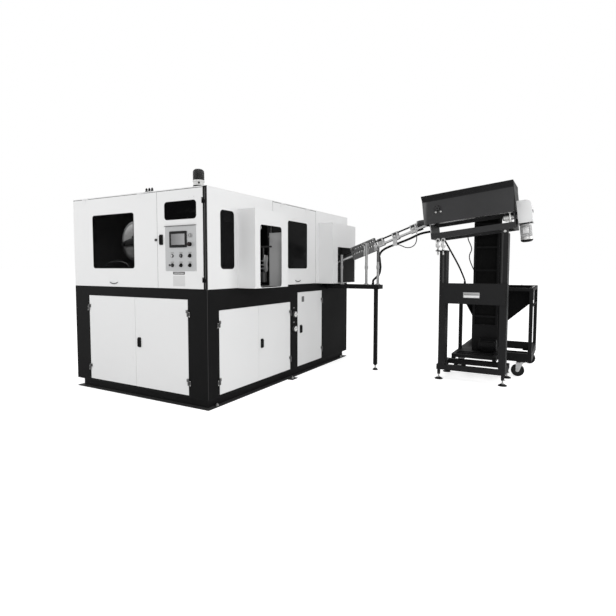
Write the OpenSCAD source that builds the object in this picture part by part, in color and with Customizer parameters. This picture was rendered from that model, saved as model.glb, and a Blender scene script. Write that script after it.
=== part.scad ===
// Automatic stretch blow moulding machine for bottles, with its side shelf,
// sloping preform rail and roller unscrambler with elevator and hopper cart.
// Millimetres, +Z up. The origin is on the floor at the centre of the machine's plan.
// Modules draw in the corner frame: X runs to the left from the right side face,
// Y runs back from the front face. corner_frame() moves them to the origin.

/* [Cabinet] */
// Width of the machine over its side faces
cab_w = 1900; // [1860:10:2100]
// Length of the machine from front to back
cab_l = 3060; // [3040:10:3300]
// Height of the roof above the floor
cab_h = 2050; // [2020:10:2200]
// Height of the black base, where the white cabinet starts
base_h = 1115; // [1105:5:1125]
// Thickness of the cabinet and hood sheets
sheet = 3; // [2:0.5:4]
// Depth of the folded upper doors
upper_door_t = 25; // [20:1:28]
// Side of the square posts inside the cabinet
post_w = 40; // [36:2:42]
// Clearance round every door
door_gap = 3; // [2:0.5:4]

/* [Plinth] */
// Height of the channel plinth
plinth_h = 100; // [80:5:110]
// Flange width of the plinth channel
channel_w = 55; // [50:5:70]
// Thickness of the plinth channel
channel_t = 8; // [6:1:10]
// Diameter of the anchor holes
anchor_d = 18; // [14:1:20]
// Distance of the anchor holes from the side faces
anchor_edge = 25; // [22:1:30]
// Distance of the anchor holes from the front and rear faces
anchor_end = 150; // [100:10:250]
// Distance of the side lug's centre from the front face
lug_y = 1440; // [1400:10:1500]

/* [Base] */
// Thickness of the base walls, framed tube behind sheet
wall_t = 40; // [30:2:50]
// Width of the top rail that carries the bed
rail_w = 80; // [76:2:100]
// Thickness of the bed plate
bed_t = 20; // [15:1:25]
// Right edge of the front opening, from the side face
front_open_x = 238; // [230:2:250]
// Width of the front opening
front_open_w = 1429; // [1380:1:1440]
// Bottom of all base openings above the floor
open_z = 109; // [105:1:112]
// Height of the front opening
front_open_h = 910; // [880:5:915]
// Front edge of the side opening, from the front face
side_open_y = 159; // [150:1:170]
// Length of the side opening
side_open_w = 1284; // [1260:1:1290]
// Height of the side opening
side_open_h = 806; // [780:2:850]
// Front edge of the rear opening, from the front face
rear_open_y = 1613; // [1600:1:1630]
// Length of the rear opening
rear_open_w = 638; // [600:1:640]
// Height of the rear opening
rear_open_h = 910; // [880:5:912]
// Depth of the folded base doors
base_door_t = 20; // [15:1:25]
// Diameter of the two pressure gauges
gauge_d = 66; // [50:1:80]

/* [Hinges and latches] */
// Height of one door hinge
hinge_h = 62; // [50:2:80]
// Outer radius of the hinge knuckles
knuckle_r = 7; // [6:0.5:8]
// Radius of the hinge pins
pin_r = 4; // [3:0.5:4.5]
// Radial clearance of pins and shafts in their bores
fit_gap = 0.06; // [0.03:0.01:0.1]
// Distance of the hinges from the door's ends
hinge_inset = 130; // [100:5:160]
// Width of the rotary latch handles
latch_w = 46; // [40:2:50]
// Height of the rotary latch handles
latch_h = 100; // [90:2:110]
// Radius of the latch shaft
latch_shaft_r = 8; // [6:1:10]
// Distance of a latch shaft from its door's free edge
latch_edge = 58; // [50:1:62]
// Distance of the control door's latch from its door edge
control_latch_edge = 52; // [50:1:53]
// The same distance on the single rear door
rear_latch_edge = 78; // [60:1:90]

/* [Windows] */
// Left edge of the front window, from the right side face
front_win_x = 1580; // [1560:5:1600]
// Width of the front window
front_win_w = 634; // [600:2:660]
// Bottom of the large windows above the floor
win_z = 1306; // [1290:4:1326]
// Height of the large windows
win_h = 556; // [500:2:580]
// Corner radius of the large windows
win_r = 28; // [15:1:40]
// Overlap of each pane behind its sheet
pane_lap = 12; // [8:1:15]
// Thickness of the window panes
pane_t = 5; // [4:1:8]
// Front edge of the long side window
long_win_y = 190; // [180:5:200]
// Width of the long side window
long_win_w = 204; // [180:2:220]
// Rear edge of the side door's window, from the front face
side_win_y = 1846; // [1800:2:1860]
// Width of the side door's window
side_win_w = 454; // [420:2:480]

/* [Control door] */
// Distance of the seam beside the control door from the right side face
seam_x = 620; // [610:2:640]
// Width of the control door's window
control_win_w = 400; // [380:2:420]
// Height of the control door's window
control_win_h = 170; // [150:2:180]
// Width of the grey control plate
plate_w = 386; // [376:2:400]
// Height of the grey control plate
plate_h = 420; // [410:2:440]
// Right edge of the control plate, from the side face
plate_x = 126; // [116:2:136]
// Percentage of the control door's free height that lies under the plate
plate_share = 50; // [46:1:52]
// Width of the touch screen's bezel
screen_w = 216; // [200:2:222]
// Height of the touch screen's bezel
screen_h = 152; // [138:2:156]
// Pitch of the push buttons and selectors across
button_dx = 111; // [100:1:115]
// Pitch of the push buttons and selectors down
button_dz = 88; // [82:1:98]
// Radius of the button caps
button_r = 10; // [8:0.5:11]

/* [Hoods] */
// How far both side hoods stand out
hood_out = 210; // [190:5:220]
// Front edge of the outlet hood
outlet_y = 450; // [440:5:460]
// Length of the outlet hood
outlet_w = 600; // [590:5:625]
// Top of the hoods above the floor
hood_top = 1888; // [1860:4:1900]
// Width of the outlet doorway
doorway_w = 390; // [360:5:400]
// Top of the outlet doorway above the floor
doorway_top = 1738; // [1700:2:1760]
// Front edge of the infeed hood
infeed_y = 2150; // [2140:5:2160]
// Length of the infeed hood
infeed_w = 725; // [715:5:735]
// Top of the infeed cut-out above the floor
infeed_top = 1588; // [1560:2:1600]

/* [Beacon] */
// Diameter of the beacon's base
beacon_d = 98; // [90:1:104]
// Height of the beacon over its dome
beacon_h = 166; // [150:2:180]

/* [Clamp and oven] */
// Radius of the tie bars
tie_r = 25; // [20:1:30]
// Stroke of each moving platen
clamp_stroke = 90; // [60:5:110]
// Radius of the crank wheel
crank_r = 210; // [180:5:225]
// Stroke of the stretch rods
stretch_stroke = 150; // [100:5:160]
// Radius of the bottle cavity's body
bottle_r = 33; // [28:1:36]

/* [Shelf and rail] */
// Length of the side shelf from the machine's side
shelf_w = 756; // [752:2:790]
// Depth of the side shelf
shelf_d = 170; // [166:1:180]
// Front edge of the shelf, from the front face
shelf_y = 2345; // [2340:1:2350]
// Drop of the shelf's top under the top of the base
shelf_drop = 16; // [10:1:25]
// Thickness of the shelf
shelf_t = 54; // [40:2:60]
// Slope of the preform rail in degrees
rail_slope = 20.5; // [19:0.5:22]
// Thickness of one neck bar of the rail
neck_bar_t = 8; // [6:0.5:9]
// Gap between the neck bars, where the preforms hang
neck_gap = 24; // [20:1:26]
// Radius of the three rail posts
rail_post_r = 17; // [14:1:19]

/* [Feeder stand] */
// Left edge of the stand, from the machine's side
stand_x = 1513; // [1500:1:1530]
// Front edge of the stand, from the front face
stand_y = 2296; // [2290:1:2300]
// Width of the stand over its base
stand_w = 754; // [740:2:770]
// Depth of the stand over its base
stand_d = 480; // [460:5:500]
// Side of the base tubes
base_tube = 60; // [50:2:64]
// Underside of the stand's base above the floor
stand_lift = 116; // [110:2:120]
// Width of each column
column_w = 75; // [60:1:80]
// Depth of each column
column_d = 150; // [120:5:160]
// Top of the left column above the floor
column_left_h = 1510; // [1490:2:1530]
// Radius of the levelling feet's pads
foot_r = 47; // [40:1:50]

/* [Trough] */
// Upward tilt of the trough in degrees
tilt = 6.4; // [5:0.2:8]
// Length of the trough
trough_l = 995; // [980:5:1010]
// Depth of the trough from front to back
trough_d = 498; // [480:2:500]
// Height of the trough's walls
trough_h = 275; // [260:5:290]
// Height of the flared lip
lip_h = 55; // [40:1:60]
// How far the lip flares outward
lip_out = 37; // [25:1:40]
// Radius of the two feed rollers
roller_r = 45; // [40:1:48]
// Gap between the feed rollers
roller_gap = 22; // [18:1:30]

/* [Elevator and cart] */
// Left edge of the elevator, from the machine's side
elevator_x = 1826; // [1815:1:1840]
// Width of the elevator
elevator_w = 293; // [280:1:300]
// Depth of the elevator
elevator_d = 200; // [180:2:206]
// Top of the elevator above the floor
elevator_top = 2290; // [2260:5:2340]
// Pitch of the elevator's cleats
cleat_pitch = 283; // [200:1:320]
// Side of the cart's tubes
cart_tube = 40; // [34:1:44]
// Top of the hopper's rim above the floor
hopper_top = 1080; // [1060:5:1130]
// Radius of the caster wheels
wheel_r = 75; // [65:1:78]
// Width of the caster wheels
wheel_w = 34; // [28:1:38]

/* [Hidden] */
$fn = 48;

steel_black = "#1b1c1e";
panel_white = "#e9eaea";
plate_grey = "#b9bcbf";
bright_steel = "#c4c7ca";
tinted = "#15171a";
machine_grey = "#7d8286";

seat_gap = 0.3;
upper_z0 = base_h + door_gap;
upper_z1 = cab_h - 14;
upper_h = upper_z1 - upper_z0;
bed_z = base_h + bed_t;
shelf_z = base_h - shelf_drop;

// Hinge lines
hinge_off = knuckle_r + 1;
lift_r = 5;
lift_pin_r = 3;
lift_off = lift_r + 1;
lift_z = upper_z1 + 4;
leaf_t = 3;
leaf_w = 26;

// Control door
corner_w = 40;
control_w = seam_x - corner_w - 1.5 * door_gap;
control_win_x = seam_x - 100;
control_win_r = 33;
control_slack = upper_h - plate_h - control_win_h;
plate_z = upper_z0 + control_slack * plate_share / 100;
control_win_z = plate_z + plate_h + control_slack * 0.183;
control_hinge_z = [upper_z0 + 92, upper_z1 - 111];
plate_t = 3;
screen_x = plate_x + plate_w - 60;
screen_z = plate_z + plate_h - 200;
row_x = plate_x + 74;
row_z = plate_z + 55;
lamp_x = plate_x + 67;
lamp_z = plate_z + 329;
stop_x = lamp_x + 2;
stop_z = plate_z + 248;

// Side openings
side_door_y0 = outlet_y + outlet_w + 25;
side_door_y1 = infeed_y - 75;
doorway_y = outlet_y + 85;
infeed_open_y = infeed_y + 148;
infeed_open_w = infeed_w - 175;
beacon_x = 142;
beacon_y = 62;

// Clamp unit
clamp_x = 1000;
clamp_half = 500;
clamp_y0 = 620;
clamp_y1 = 1180;
end_plate_t = 45;
tie_z = [bed_z + 95, bed_z + 505];
tie_y = [clamp_y0 + 60, clamp_y1 - 60];
platen_t = 60;
mould_t = 150;
mould_z0 = bed_z + 125;
mould_h = 320;
cavity_pitch = 110;
crank_x = 1190;
crank_y = 225;
crank_z = bed_z + 463;
crank_w = 50;
crank_shaft_r = 25;
portal_z = bed_z + 600;
guide_r = 15;
rod_r = 8;

// Rail
neck_bar_h = 26;
guide_z = 74;
guide_rod_r = 7;
rail_y = 2450;
rail_end_x = 1338;
rail_end_z = 1820;
rail_l = 1490;
post_x = [214, 566, 711];
post_y = rail_y - neck_gap / 2 - neck_bar_t - rail_post_r;

// Tilted frame
tilt_x = 1470;
tilt_z = 1656;
bar_l = 835;
bar_h = 66;
bar_t = 40;
tilt_d = 440;
end_t = 10;
trough_x0 = -102;
trough_z0 = 175;
trough_y0 = stand_y - 34;
roller_z = trough_z0 + 62;
roller_y = rail_y;
cover_y0 = rail_y - 80;
cover_d = 240;
shaft_r = 12;
wall = 3;

eye_x = [stand_x - 3, stand_x + 57];
eye_y = stand_y - 18;
eye_r = 8;

// Elevator and cart
cart_x0 = 1652;
cart_x1 = 2495;
cart_y0 = 2860;
cart_y1 = 3870;
cart_z0 = 190;
cart_z1 = 290;
tray_t = 6;
elevator_y = 2802;
elevator_z = cart_z1 + tray_t;
hopper_y = elevator_y + elevator_d + 8;
caster_y = cart_y0 + 56;
trail = 38;
kingpin_r = 10;
axle_r = 8;

// Routes of the cables, points by hand in the corner frame
rail_cable_r = 12;
rail_cable_route = [
  [630, 2490, 1126], [632, 2490, 1150], [658, 2490, 1178], [695, 2490, 1212], [718, 2490, 1262],
  [725, 2490, 1330], [717, 2490, 1395], [711, 2490, 1450], [728, 2490, 1508], [775, 2490, 1552],
  [840, 2490, 1583], [915, 2490, 1610], [990, 2490, 1636], [1065, 2490, 1662], [1140, 2490, 1692],
  [1210, 2490, 1724], [1268, 2490, 1742], [1328, 2490, 1752.5], [1390, 2490, 1759.6]
];
sensor_cable_r = 4;
sensor_cable_route = [
  [1216, 2422, 1719], [1217, 2422, 1700], [1218, 2422, 1680], [1217, 2422, 1660], [1213, 2422, 1640],
  [1206, 2422, 1620], [1195, 2422, 1602], [1180, 2422, 1587], [1162, 2422, 1576], [1142, 2422, 1569],
  [1118, 2422, 1566], [1094, 2422, 1567], [1070, 2422, 1573], [1048, 2422, 1582], [1026, 2422, 1592],
  [1006, 2422, 1600], [990, 2422, 1604], [976, 2422, 1605.5]
];
feeder_cable_r = 8;
feeder_cable_route = [
  [1567, 2330, 1666], [1569, 2330, 1650], [1583, 2330, 1624], [1602, 2330, 1592], [1622, 2330, 1556],
  [1642, 2330, 1520], [1662, 2330, 1484], [1682, 2330, 1448], [1702, 2330, 1412], [1721, 2330, 1376],
  [1740, 2330, 1340], [1757, 2330, 1304], [1773, 2330, 1268], [1788, 2330, 1232], [1801, 2330, 1200],
  [1810, 2330, 1176], [1812, 2330, 1166]
];
elevator_cable_r = 4.5;
elevator_cable_route = [
  [1768, 2712, 1689], [1770, 2712, 1672], [1776, 2713, 1652], [1785, 2714, 1630], [1795, 2715, 1608],
  [1804, 2716, 1585], [1811, 2718, 1562], [1812, 2720, 1540], [1806, 2722, 1518], [1796, 2724, 1496],
  [1789, 2726, 1472], [1787, 2728, 1448], [1790, 2731, 1424], [1796, 2734, 1400], [1804, 2738, 1376],
  [1813, 2742, 1352], [1822, 2747, 1329], [1831, 2753, 1308], [1838, 2759, 1292], [1842, 2766, 1284],
  [1843, 2776, 1281]
];

// Shared shapes
module corner_frame() {
  translate([cab_w / 2, -cab_l / 2, 0])
    children();
}

module span(low, high) {
  translate(low)
    cube(high - low);
}

module cyl_x(x0, x1, y, z, r) {
  translate([x0, y, z])
    rotate([0, 90, 0])
      cylinder(h = x1 - x0, r = r);
}

module cyl_y(x, y0, y1, z, r) {
  translate([x, y0, z])
    rotate([-90, 0, 0])
      cylinder(h = y1 - y0, r = r);
}

module cyl_z(x, y, z0, z1, r) {
  translate([x, y, z0])
    cylinder(h = z1 - z0, r = r);
}

module rounded_rect(w, h, r) {
  translate([r, 0])
    square([w - 2 * r, h]);
  translate([0, r])
    square([w, h - 2 * r]);
  for (x = [r, w - r], y = [r, h - r])
    translate([x, y])
      circle(r);
}

// Rounded slab in the front plane, from y0 back to y1
module front_slab(x0, z0, w, h, r, y0, y1) {
  translate([x0, y1, z0])
    rotate([90, 0, 0])
      linear_extrude(y1 - y0)
        rounded_rect(w, h, r);
}

// Turns a shape made for the front face onto the right side face, at y along it
module on_side(y) {
  translate([0, y, 0])
    rotate([0, 0, 90])
      children();
}

// Folded sheet door, open at the back, front face at y = 0
module door_pan(w, h, t) {
  difference() {
    cube([w, t, h]);
    translate([sheet, sheet, sheet])
      cube([w - 2 * sheet, t, h - 2 * sheet]);
  }
}

// One half of a butt hinge on a vertical pin. side is 1 for a leaf towards +X
module hinge_half(side, z0, z1, bored) {
  difference() {
    union() {
      cyl_z(0, -hinge_off, z0, z1, knuckle_r);
      translate([side > 0 ? 1 : -leaf_w, -leaf_t, z0])
        cube([leaf_w - 1, leaf_t, z1 - z0]);
    }
    if (bored)
      cyl_z(0, -hinge_off, z0 - 1, z1 + 1, pin_r + fit_gap);
  }
}

module hinge_frame_half(side, z) {
  hinge_half(side, z - hinge_h / 2, z - seat_gap / 2, false);
  cyl_z(0, -hinge_off, z - seat_gap / 2 - 1, z + hinge_h / 2, pin_r);
}

module hinge_door_half(side, z) {
  hinge_half(side, z + seat_gap / 2, z + hinge_h / 2, true);
}

// Both hinges of a door of height h that starts at z0
module door_hinge_halves(side, z0, h) {
  hinge_door_half(side, z0 + hinge_inset);
  hinge_door_half(side, z0 + h - hinge_inset);
}

module frame_hinge_halves(side, z0, h) {
  hinge_frame_half(side, z0 + hinge_inset);
  hinge_frame_half(side, z0 + h - hinge_inset);
}

// Top hinges of the lift-up doors, on a pin along local X
lift_hinge_l = 100;
lift_hinge_ends = 160;

module lift_knuckle(x, l, bored) {
  difference() {
    cyl_x(x, x + l, -lift_off, lift_z, lift_r);
    if (bored)
      cyl_x(x - 1, x + l + 1, -lift_off, lift_z, lift_pin_r + fit_gap);
  }
}

module lift_door_half(w) {
  for (x = [lift_hinge_ends, w - lift_hinge_ends - lift_hinge_l]) {
    lift_knuckle(x, lift_hinge_l / 2 - seat_gap, true);
    difference() {
      translate([x, -2, lift_z - 40])
        cube([lift_hinge_l / 2 - seat_gap, 2, 39]);
      cyl_x(x - 1, x + lift_hinge_l, -lift_off, lift_z, lift_pin_r + fit_gap);
    }
  }
}

module lift_frame_half(w) {
  for (x = [lift_hinge_ends, w - lift_hinge_ends - lift_hinge_l]) {
    lift_knuckle(x + lift_hinge_l / 2, lift_hinge_l / 2, false);
    cyl_x(x, x + lift_hinge_l / 2 + 1, -lift_off, lift_z, lift_pin_r);
    translate([x + lift_hinge_l / 2, -2, lift_z + 1])
      cube([lift_hinge_l / 2, 2, cab_h - lift_z - 1]);
  }
}

// Half-moon grip at the foot of a lift-up door
module moon_grip(x, z) {
  difference() {
    cyl_y(x, -10, 0, z + 98, 98);
    cyl_y(x, -11, 1, z + 152, 144);
  }
}

// Rotary latch handle with its shaft and tongue, local to a door's face
module latch(depth, reach) {
  intersection() {
    translate([-latch_w / 2, -16, -latch_h / 2])
      cube([latch_w, 16 - seat_gap, latch_h]);
    cyl_y(0, -17, 0, 0, latch_h / 2 + 2);
  }
  translate([-5, -24, -latch_h / 2 + 6])
    cube([10, 8, latch_h - 12]);
  cyl_y(0, -1, depth + 6, 0, latch_shaft_r);
  translate([-8, depth + 1, -reach])
    cube([16, 5, reach]);
}

module latch_bore(depth) {
  cyl_y(0, -1, depth, 0, latch_shaft_r + fit_gap);
}

// Plinth of outward channels with corner anchor holes and two side lugs
module plinth() {
  color(steel_black)
    corner_frame()
      difference() {
        union() {
          difference() {
            span([-cab_w, 0, 0], [0, cab_l, plinth_h]);
            translate([-cab_w + channel_w, channel_w, -1])
              cube([cab_w - 2 * channel_w, cab_l - 2 * channel_w, plinth_h + 2]);
            difference() {
              span([-cab_w - 1, -1, channel_t], [1, cab_l + 1, plinth_h - channel_t]);
              translate([-cab_w + channel_w - channel_t, channel_w - channel_t, 0])
                cube([cab_w - 2 * channel_w + 2 * channel_t,
                   cab_l - 2 * channel_w + 2 * channel_t, plinth_h]);
            }
          }
          for (side = [0, 1])
            translate([side ? 0 : -cab_w - 70, lug_y - 60, 0])
              cube([70, 120, channel_t]);
        }
        for (x = [-cab_w + anchor_edge, -anchor_edge], y = [anchor_end, cab_l - anchor_end])
          cyl_z(x, y, -1, channel_t + 1, anchor_d / 2);
        for (x = [-cab_w - 35, 35])
          cyl_z(x, lug_y, -1, channel_t + 1, anchor_d / 2);
      }
}

// Openings of the base, used by the frame and its doors
module base_opening(w, h) {
  translate([0, -1, open_z])
    cube([w, wall_t + 2, h]);
}

module base_frame() {
  color(steel_black)
    corner_frame() {
      difference() {
        span([-cab_w, 0, plinth_h], [0, cab_l, base_h]);
        span([-cab_w + wall_t, wall_t, plinth_h - 1], [-wall_t, cab_l - wall_t, base_h - rail_w]);
        span([-cab_w + rail_w, rail_w, plinth_h - 1], [-rail_w, cab_l - rail_w, base_h + 1]);
        translate([-front_open_x - front_open_w, 0, 0])
          base_opening(front_open_w, front_open_h);
        on_side(side_open_y)
          base_opening(side_open_w, side_open_h);
        on_side(rear_open_y)
          base_opening(rear_open_w, rear_open_h);
      }
      span([-cab_w + 46, 75, base_h], [-46, cab_l - 46, bed_z]);
      corner_post();
      translate([-front_open_x - front_open_w, 0, 0])
        frame_hinge_halves(-1, open_z, front_open_h);
      translate([-front_open_x, 0, 0])
        frame_hinge_halves(1, open_z, front_open_h);
      on_side(side_open_y)
        frame_hinge_halves(-1, open_z, side_open_h);
      on_side(side_open_y + side_open_w)
        frame_hinge_halves(1, open_z, side_open_h);
      on_side(rear_open_y + rear_open_w)
        frame_hinge_halves(1, open_z, rear_open_h);
      pressure_gauges();
      hood_bracket();
    }
}

// Black corner column with its bright groove, and the control door's hinges
module corner_post() {
  difference() {
    span([-corner_w, 0, base_h], [-sheet, corner_w, cab_h - sheet]);
    span([-corner_w / 2 - 3, -1, base_h + 5], [-corner_w / 2 + 3, 2, cab_h - 20]);
  }
  translate([-corner_w, 0, 0])
    for (z = control_hinge_z)
      hinge_frame_half(1, z);
}

module pressure_gauges() {
  gauge_y = side_open_y + side_open_w + 85;
  for (z = [587, 760])
    on_side(gauge_y) {
      cyl_y(0, -26, 0, z, gauge_d / 2);
      cyl_y(0, -30, -26, z, 4);
    }
}

// Small angle with a clamping stud under the infeed hood
module hood_bracket() {
  bracket_y = infeed_y + 100;
  span([0, bracket_y, base_h - 65], [6, bracket_y + 80, base_h - 22]);
  span([0, bracket_y, base_h - 30], [90, bracket_y + 80, base_h - 22]);
  cyl_z(60, bracket_y + 40, base_h - 83, base_h - 12, 8);
  cyl_z(60, bracket_y + 40, base_h - 75, base_h - 63, 18);
}

// Welded cabinet: roof, left, rear and right rear sheets on square posts
module cabinet_shell() {
  color(panel_white)
    corner_frame() {
      difference() {
        span([-cab_w, 0, cab_h - sheet], [0, cab_l, cab_h]);
        cyl_z(-beacon_x, beacon_y, cab_h - sheet - 1, cab_h + 1, 10);
      }
      span([-cab_w, 0, lift_z + 1], [-corner_w - 2, sheet, cab_h - sheet]);
      span([-sheet, side_door_y0, lift_z + 1], [0, side_door_y1, cab_h - sheet]);
      span([-cab_w, 0, base_h], [-cab_w + sheet, cab_l, cab_h - sheet]);
      span([-cab_w + sheet, cab_l - sheet, base_h], [-sheet, cab_l, cab_h - sheet]);
      right_front_sheet();
      right_rear_sheet();
      shell_posts();
      translate([-cab_w + door_gap, 0, 0])
        lift_frame_half(cab_w - seam_x - 1.5 * door_gap);
      on_side(side_door_y0 + door_gap)
        lift_frame_half(side_door_y1 - side_door_y0 - 2 * door_gap);
      roof_bar();
    }
}

// Short bar with three round bolt heads on the roof
module roof_bar() {
  span([-898, 90, cab_h], [-778, 130, cab_h + 16]);
  for (x = [-878, -838, -798])
    cyl_z(x, 110, cab_h + 16, cab_h + 34, 13);
}

module right_rear_sheet() {
  difference() {
    span([-sheet, side_door_y1 + door_gap, base_h], [0, cab_l, cab_h - sheet]);
    on_side(rail_y)
      front_slab(-55, 1270, 110, 270, 20, -1, sheet + 1);
  }
}

module shell_posts() {
  inner = sheet + post_w;
  back = upper_door_t + 8;
  beam = 50;
  for (x = [-cab_w + sheet, -seam_x - post_w / 2])
    span([x, back, base_h], [x + post_w, back + post_w, cab_h - sheet]);
  for (y = [side_door_y0 - post_w - 2, side_door_y1 + 2, cab_l - inner])
    span([-inner, y, base_h], [-sheet, y + post_w, cab_h - sheet]);
  span([-cab_w + sheet, cab_l - inner, base_h], [-cab_w + inner, cab_l - sheet, cab_h - sheet]);
  span([-cab_w + inner, back, cab_h - beam], [-inner - 8, back + post_w, cab_h - sheet]);
  span([-cab_w + inner, cab_l - inner, cab_h - beam], [-inner, cab_l - sheet, cab_h - sheet]);
  span([-cab_w + sheet, back + post_w, cab_h - beam], [-cab_w + inner, cab_l - inner, cab_h - sheet]);
  span([-2 * inner + 12, back + post_w, cab_h - beam], [-inner + 4, cab_l - inner, cab_h - sheet]);
}

// Right front sheet with the long window and the way out into the hood
module right_front_sheet() {
  difference() {
    span([-sheet, 0, base_h], [0, side_door_y0 - door_gap, cab_h - sheet]);
    on_side(long_win_y)
      front_slab(0, win_z - 5, long_win_w, win_h, win_r + 10, -1, sheet + 1);
    on_side(outlet_y + 20)
      front_slab(0, base_h + 5, outlet_w - 35, hood_top - base_h - 25, 10, -1, sheet + 1);
  }
}

module long_window() {
  color(tinted)
    corner_frame()
      on_side(long_win_y)
        front_slab(-pane_lap, win_z - 5 - pane_lap, long_win_w + 2 * pane_lap,
             win_h + 2 * pane_lap, win_r + 10, sheet, sheet + pane_t);
}

// Sheet hood on the side face, open at the back, over a floor
module hood_shell(w, z0, z1) {
  difference() {
    translate([0, -hood_out, z0])
      cube([w, hood_out, z1 - z0]);
    translate([sheet, -hood_out + sheet, z0 + sheet])
      cube([w - 2 * sheet, hood_out, z1 - z0 - 2 * sheet]);
  }
}

module outlet_hood() {
  color(panel_white)
    corner_frame()
      on_side(outlet_y) {
        difference() {
          hood_shell(outlet_w, base_h - 2, hood_top);
          front_slab(doorway_y - outlet_y, base_h + sheet, doorway_w,
               doorway_top - base_h - sheet, 32, -hood_out - 1, -hood_out + sheet + 1);
        }
        translate([outlet_w - 23, -hood_out + sheet - 1, base_h + 6])
          cube([sheet, hood_out + 11, doorway_top - base_h - 50]);
        translate([outlet_w - 23, -hood_out + sheet - 1, base_h])
          cube([sheet, hood_out - 4, 8]);
      }
}

module infeed_hood() {
  color(panel_white)
    corner_frame()
      on_side(infeed_y)
        difference() {
          hood_shell(infeed_w, base_h - 2, hood_top + 5);
          front_slab(infeed_open_y - infeed_y, base_h + sheet, infeed_open_w,
               infeed_top - base_h - sheet, 10, -hood_out - 1, -hood_out + sheet + 1);
          cyl_z(post_y - infeed_y, -post_x[0], base_h - 3, base_h + 10, rail_post_r + 6);
        }
}

module beacon_base() {
  color(panel_white)
    corner_frame()
      translate([-beacon_x, beacon_y, cab_h])
        difference() {
          union() {
            cylinder(h = 8, d = beacon_d + 8);
            cylinder(h = 54, d = beacon_d);
          }
          translate([0, 0, 40])
            cylinder(h = 20, d = beacon_d - 10);
        }
}

// Dark domed lens, hollow, over a lamp stem
module beacon_lens() {
  lens_h = beacon_h - 54;
  dome_r = 30;
  lens_r = beacon_d / 2 + 3;
  color(tinted)
    corner_frame()
      translate([-beacon_x, beacon_y, cab_h + 54])
        rotate_extrude()
          difference() {
            union() {
              square([lens_r, lens_h - dome_r]);
              square([lens_r - dome_r, lens_h]);
              translate([lens_r - dome_r, lens_h - dome_r])
                intersection() {
                  circle(dome_r);
                  square(dome_r);
                }
            }
            square([lens_r - 4, lens_h - dome_r]);
          }
}

// Big front door, hung from its top edge
module front_door() {
  w = cab_w - seam_x - 1.5 * door_gap;
  win_left = cab_w - door_gap - front_win_x;
  color(panel_white)
    corner_frame()
      translate([-cab_w + door_gap, 0, 0])
        difference() {
          union() {
            translate([0, 0, upper_z0])
              door_pan(w, upper_h, upper_door_t);
            lift_door_half(w);
            moon_grip(w / 2, upper_z0 + 26);
            cyl_y(w - 13.5, -11, 0, 1580, 12.5);
          }
          front_slab(win_left, win_z, front_win_w, win_h, win_r, -1, sheet + 1);
        }
}

module front_window() {
  color(tinted)
    corner_frame()
      front_slab(-front_win_x - pane_lap, win_z - pane_lap, front_win_w + 2 * pane_lap,
           win_h + 2 * pane_lap, win_r, sheet, sheet + pane_t);
}

// Control door on the corner post's hinges
module control_door() {
  color(panel_white)
    corner_frame()
      difference() {
        union() {
          translate([-seam_x + door_gap / 2, 0, upper_z0])
            door_pan(control_w, upper_h, upper_door_t);
          translate([-corner_w, 0, 0])
            for (z = control_hinge_z)
              hinge_door_half(-1, z);
        }
        front_slab(-control_win_x, control_win_z, control_win_w, control_win_h,
          control_win_r, -1, sheet + 1);
        span([-screen_x + 6, -1, screen_z + 6], [-screen_x + screen_w - 6, sheet + 1, screen_z + screen_h - 6]);
        control_sites()
          cyl_y(0, -1, sheet + 1, 0, 14);
        translate([-seam_x + door_gap / 2 + control_latch_edge, 0, 1580])
          latch_bore(sheet + 1);
      }
}

module control_window() {
  color(tinted)
    corner_frame()
      front_slab(-control_win_x - pane_lap, control_win_z - pane_lap, control_win_w + 2 * pane_lap,
           control_win_h + 2 * pane_lap, control_win_r, sheet, sheet + pane_t);
}

// The seven operating places on the control plate
module control_sites() {
  for (i = [0, 1, 2], j = [0, 1])
    translate([-row_x - i * button_dx, 0, row_z + j * button_dz])
      children();
  translate([-stop_x, 0, stop_z])
    children();
}

module control_plate() {
  bezel_r = 15;
  color(plate_grey)
    corner_frame() {
      difference() {
        union() {
          span([-plate_x - plate_w, -plate_t, plate_z], [-plate_x, 0, plate_z + plate_h]);
          span([-plate_x - plate_w - 4, -14, plate_z + plate_h], [-plate_x + 4, 0, plate_z + plate_h + 4]);
          control_sites()
            cyl_y(0, -8, -plate_t, 0, bezel_r);
        }
        span([-screen_x + 6, -20, screen_z + 6],
          [-screen_x + screen_w - 6, 1, screen_z + screen_h - 6]);
        control_sites()
          cyl_y(0, -20, 1, 0, button_r + fit_gap);
      }
      cyl_y(-lamp_x, -9, -plate_t, lamp_z, 13);
      translate([-lamp_x, -9, lamp_z])
        sphere(r = 9);
    }
}

module touch_screen() {
  color(tinted)
    corner_frame() {
      difference() {
        front_slab(-screen_x, screen_z, screen_w, screen_h, 8, -plate_t - 7, -plate_t);
        front_slab(-screen_x + 20, screen_z + 24, screen_w - 42, screen_h - 48, 2,
             -plate_t - 8, -plate_t - 5);
      }
      span([-screen_x + 8, -plate_t, screen_z + 8], [-screen_x + screen_w - 8, 38, screen_z + screen_h - 8]);
    }
}

// Plunger of a push button, from its cap to behind the plate
module button_cap(x, z, proud) {
  cyl_y(x, -proud, 14, z, button_r);
}

module emergency_stop() {
  color("#b3261e")
    corner_frame() {
      button_cap(-stop_x, stop_z, 20);
      cyl_y(-stop_x, -34, -20, stop_z, 20);
    }
}

module start_button() {
  color(panel_white)
    corner_frame()
      button_cap(-row_x - 2 * button_dx, row_z + button_dz, 13);
}

module stop_button() {
  color(machine_grey)
    corner_frame()
      button_cap(-row_x - button_dx, row_z + button_dz, 13);
}

// Selector with a slanted grip bar across its cap
module selector(i, j) {
  color(steel_black)
    corner_frame()
      translate([-row_x - i * button_dx, 0, row_z + j * button_dz]) {
        cyl_y(0, -14, 14, 0, button_r);
        rotate([0, 35, 0])
          translate([-5, -24, -14])
            cube([10, 14, 28]);
      }
}

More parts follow.
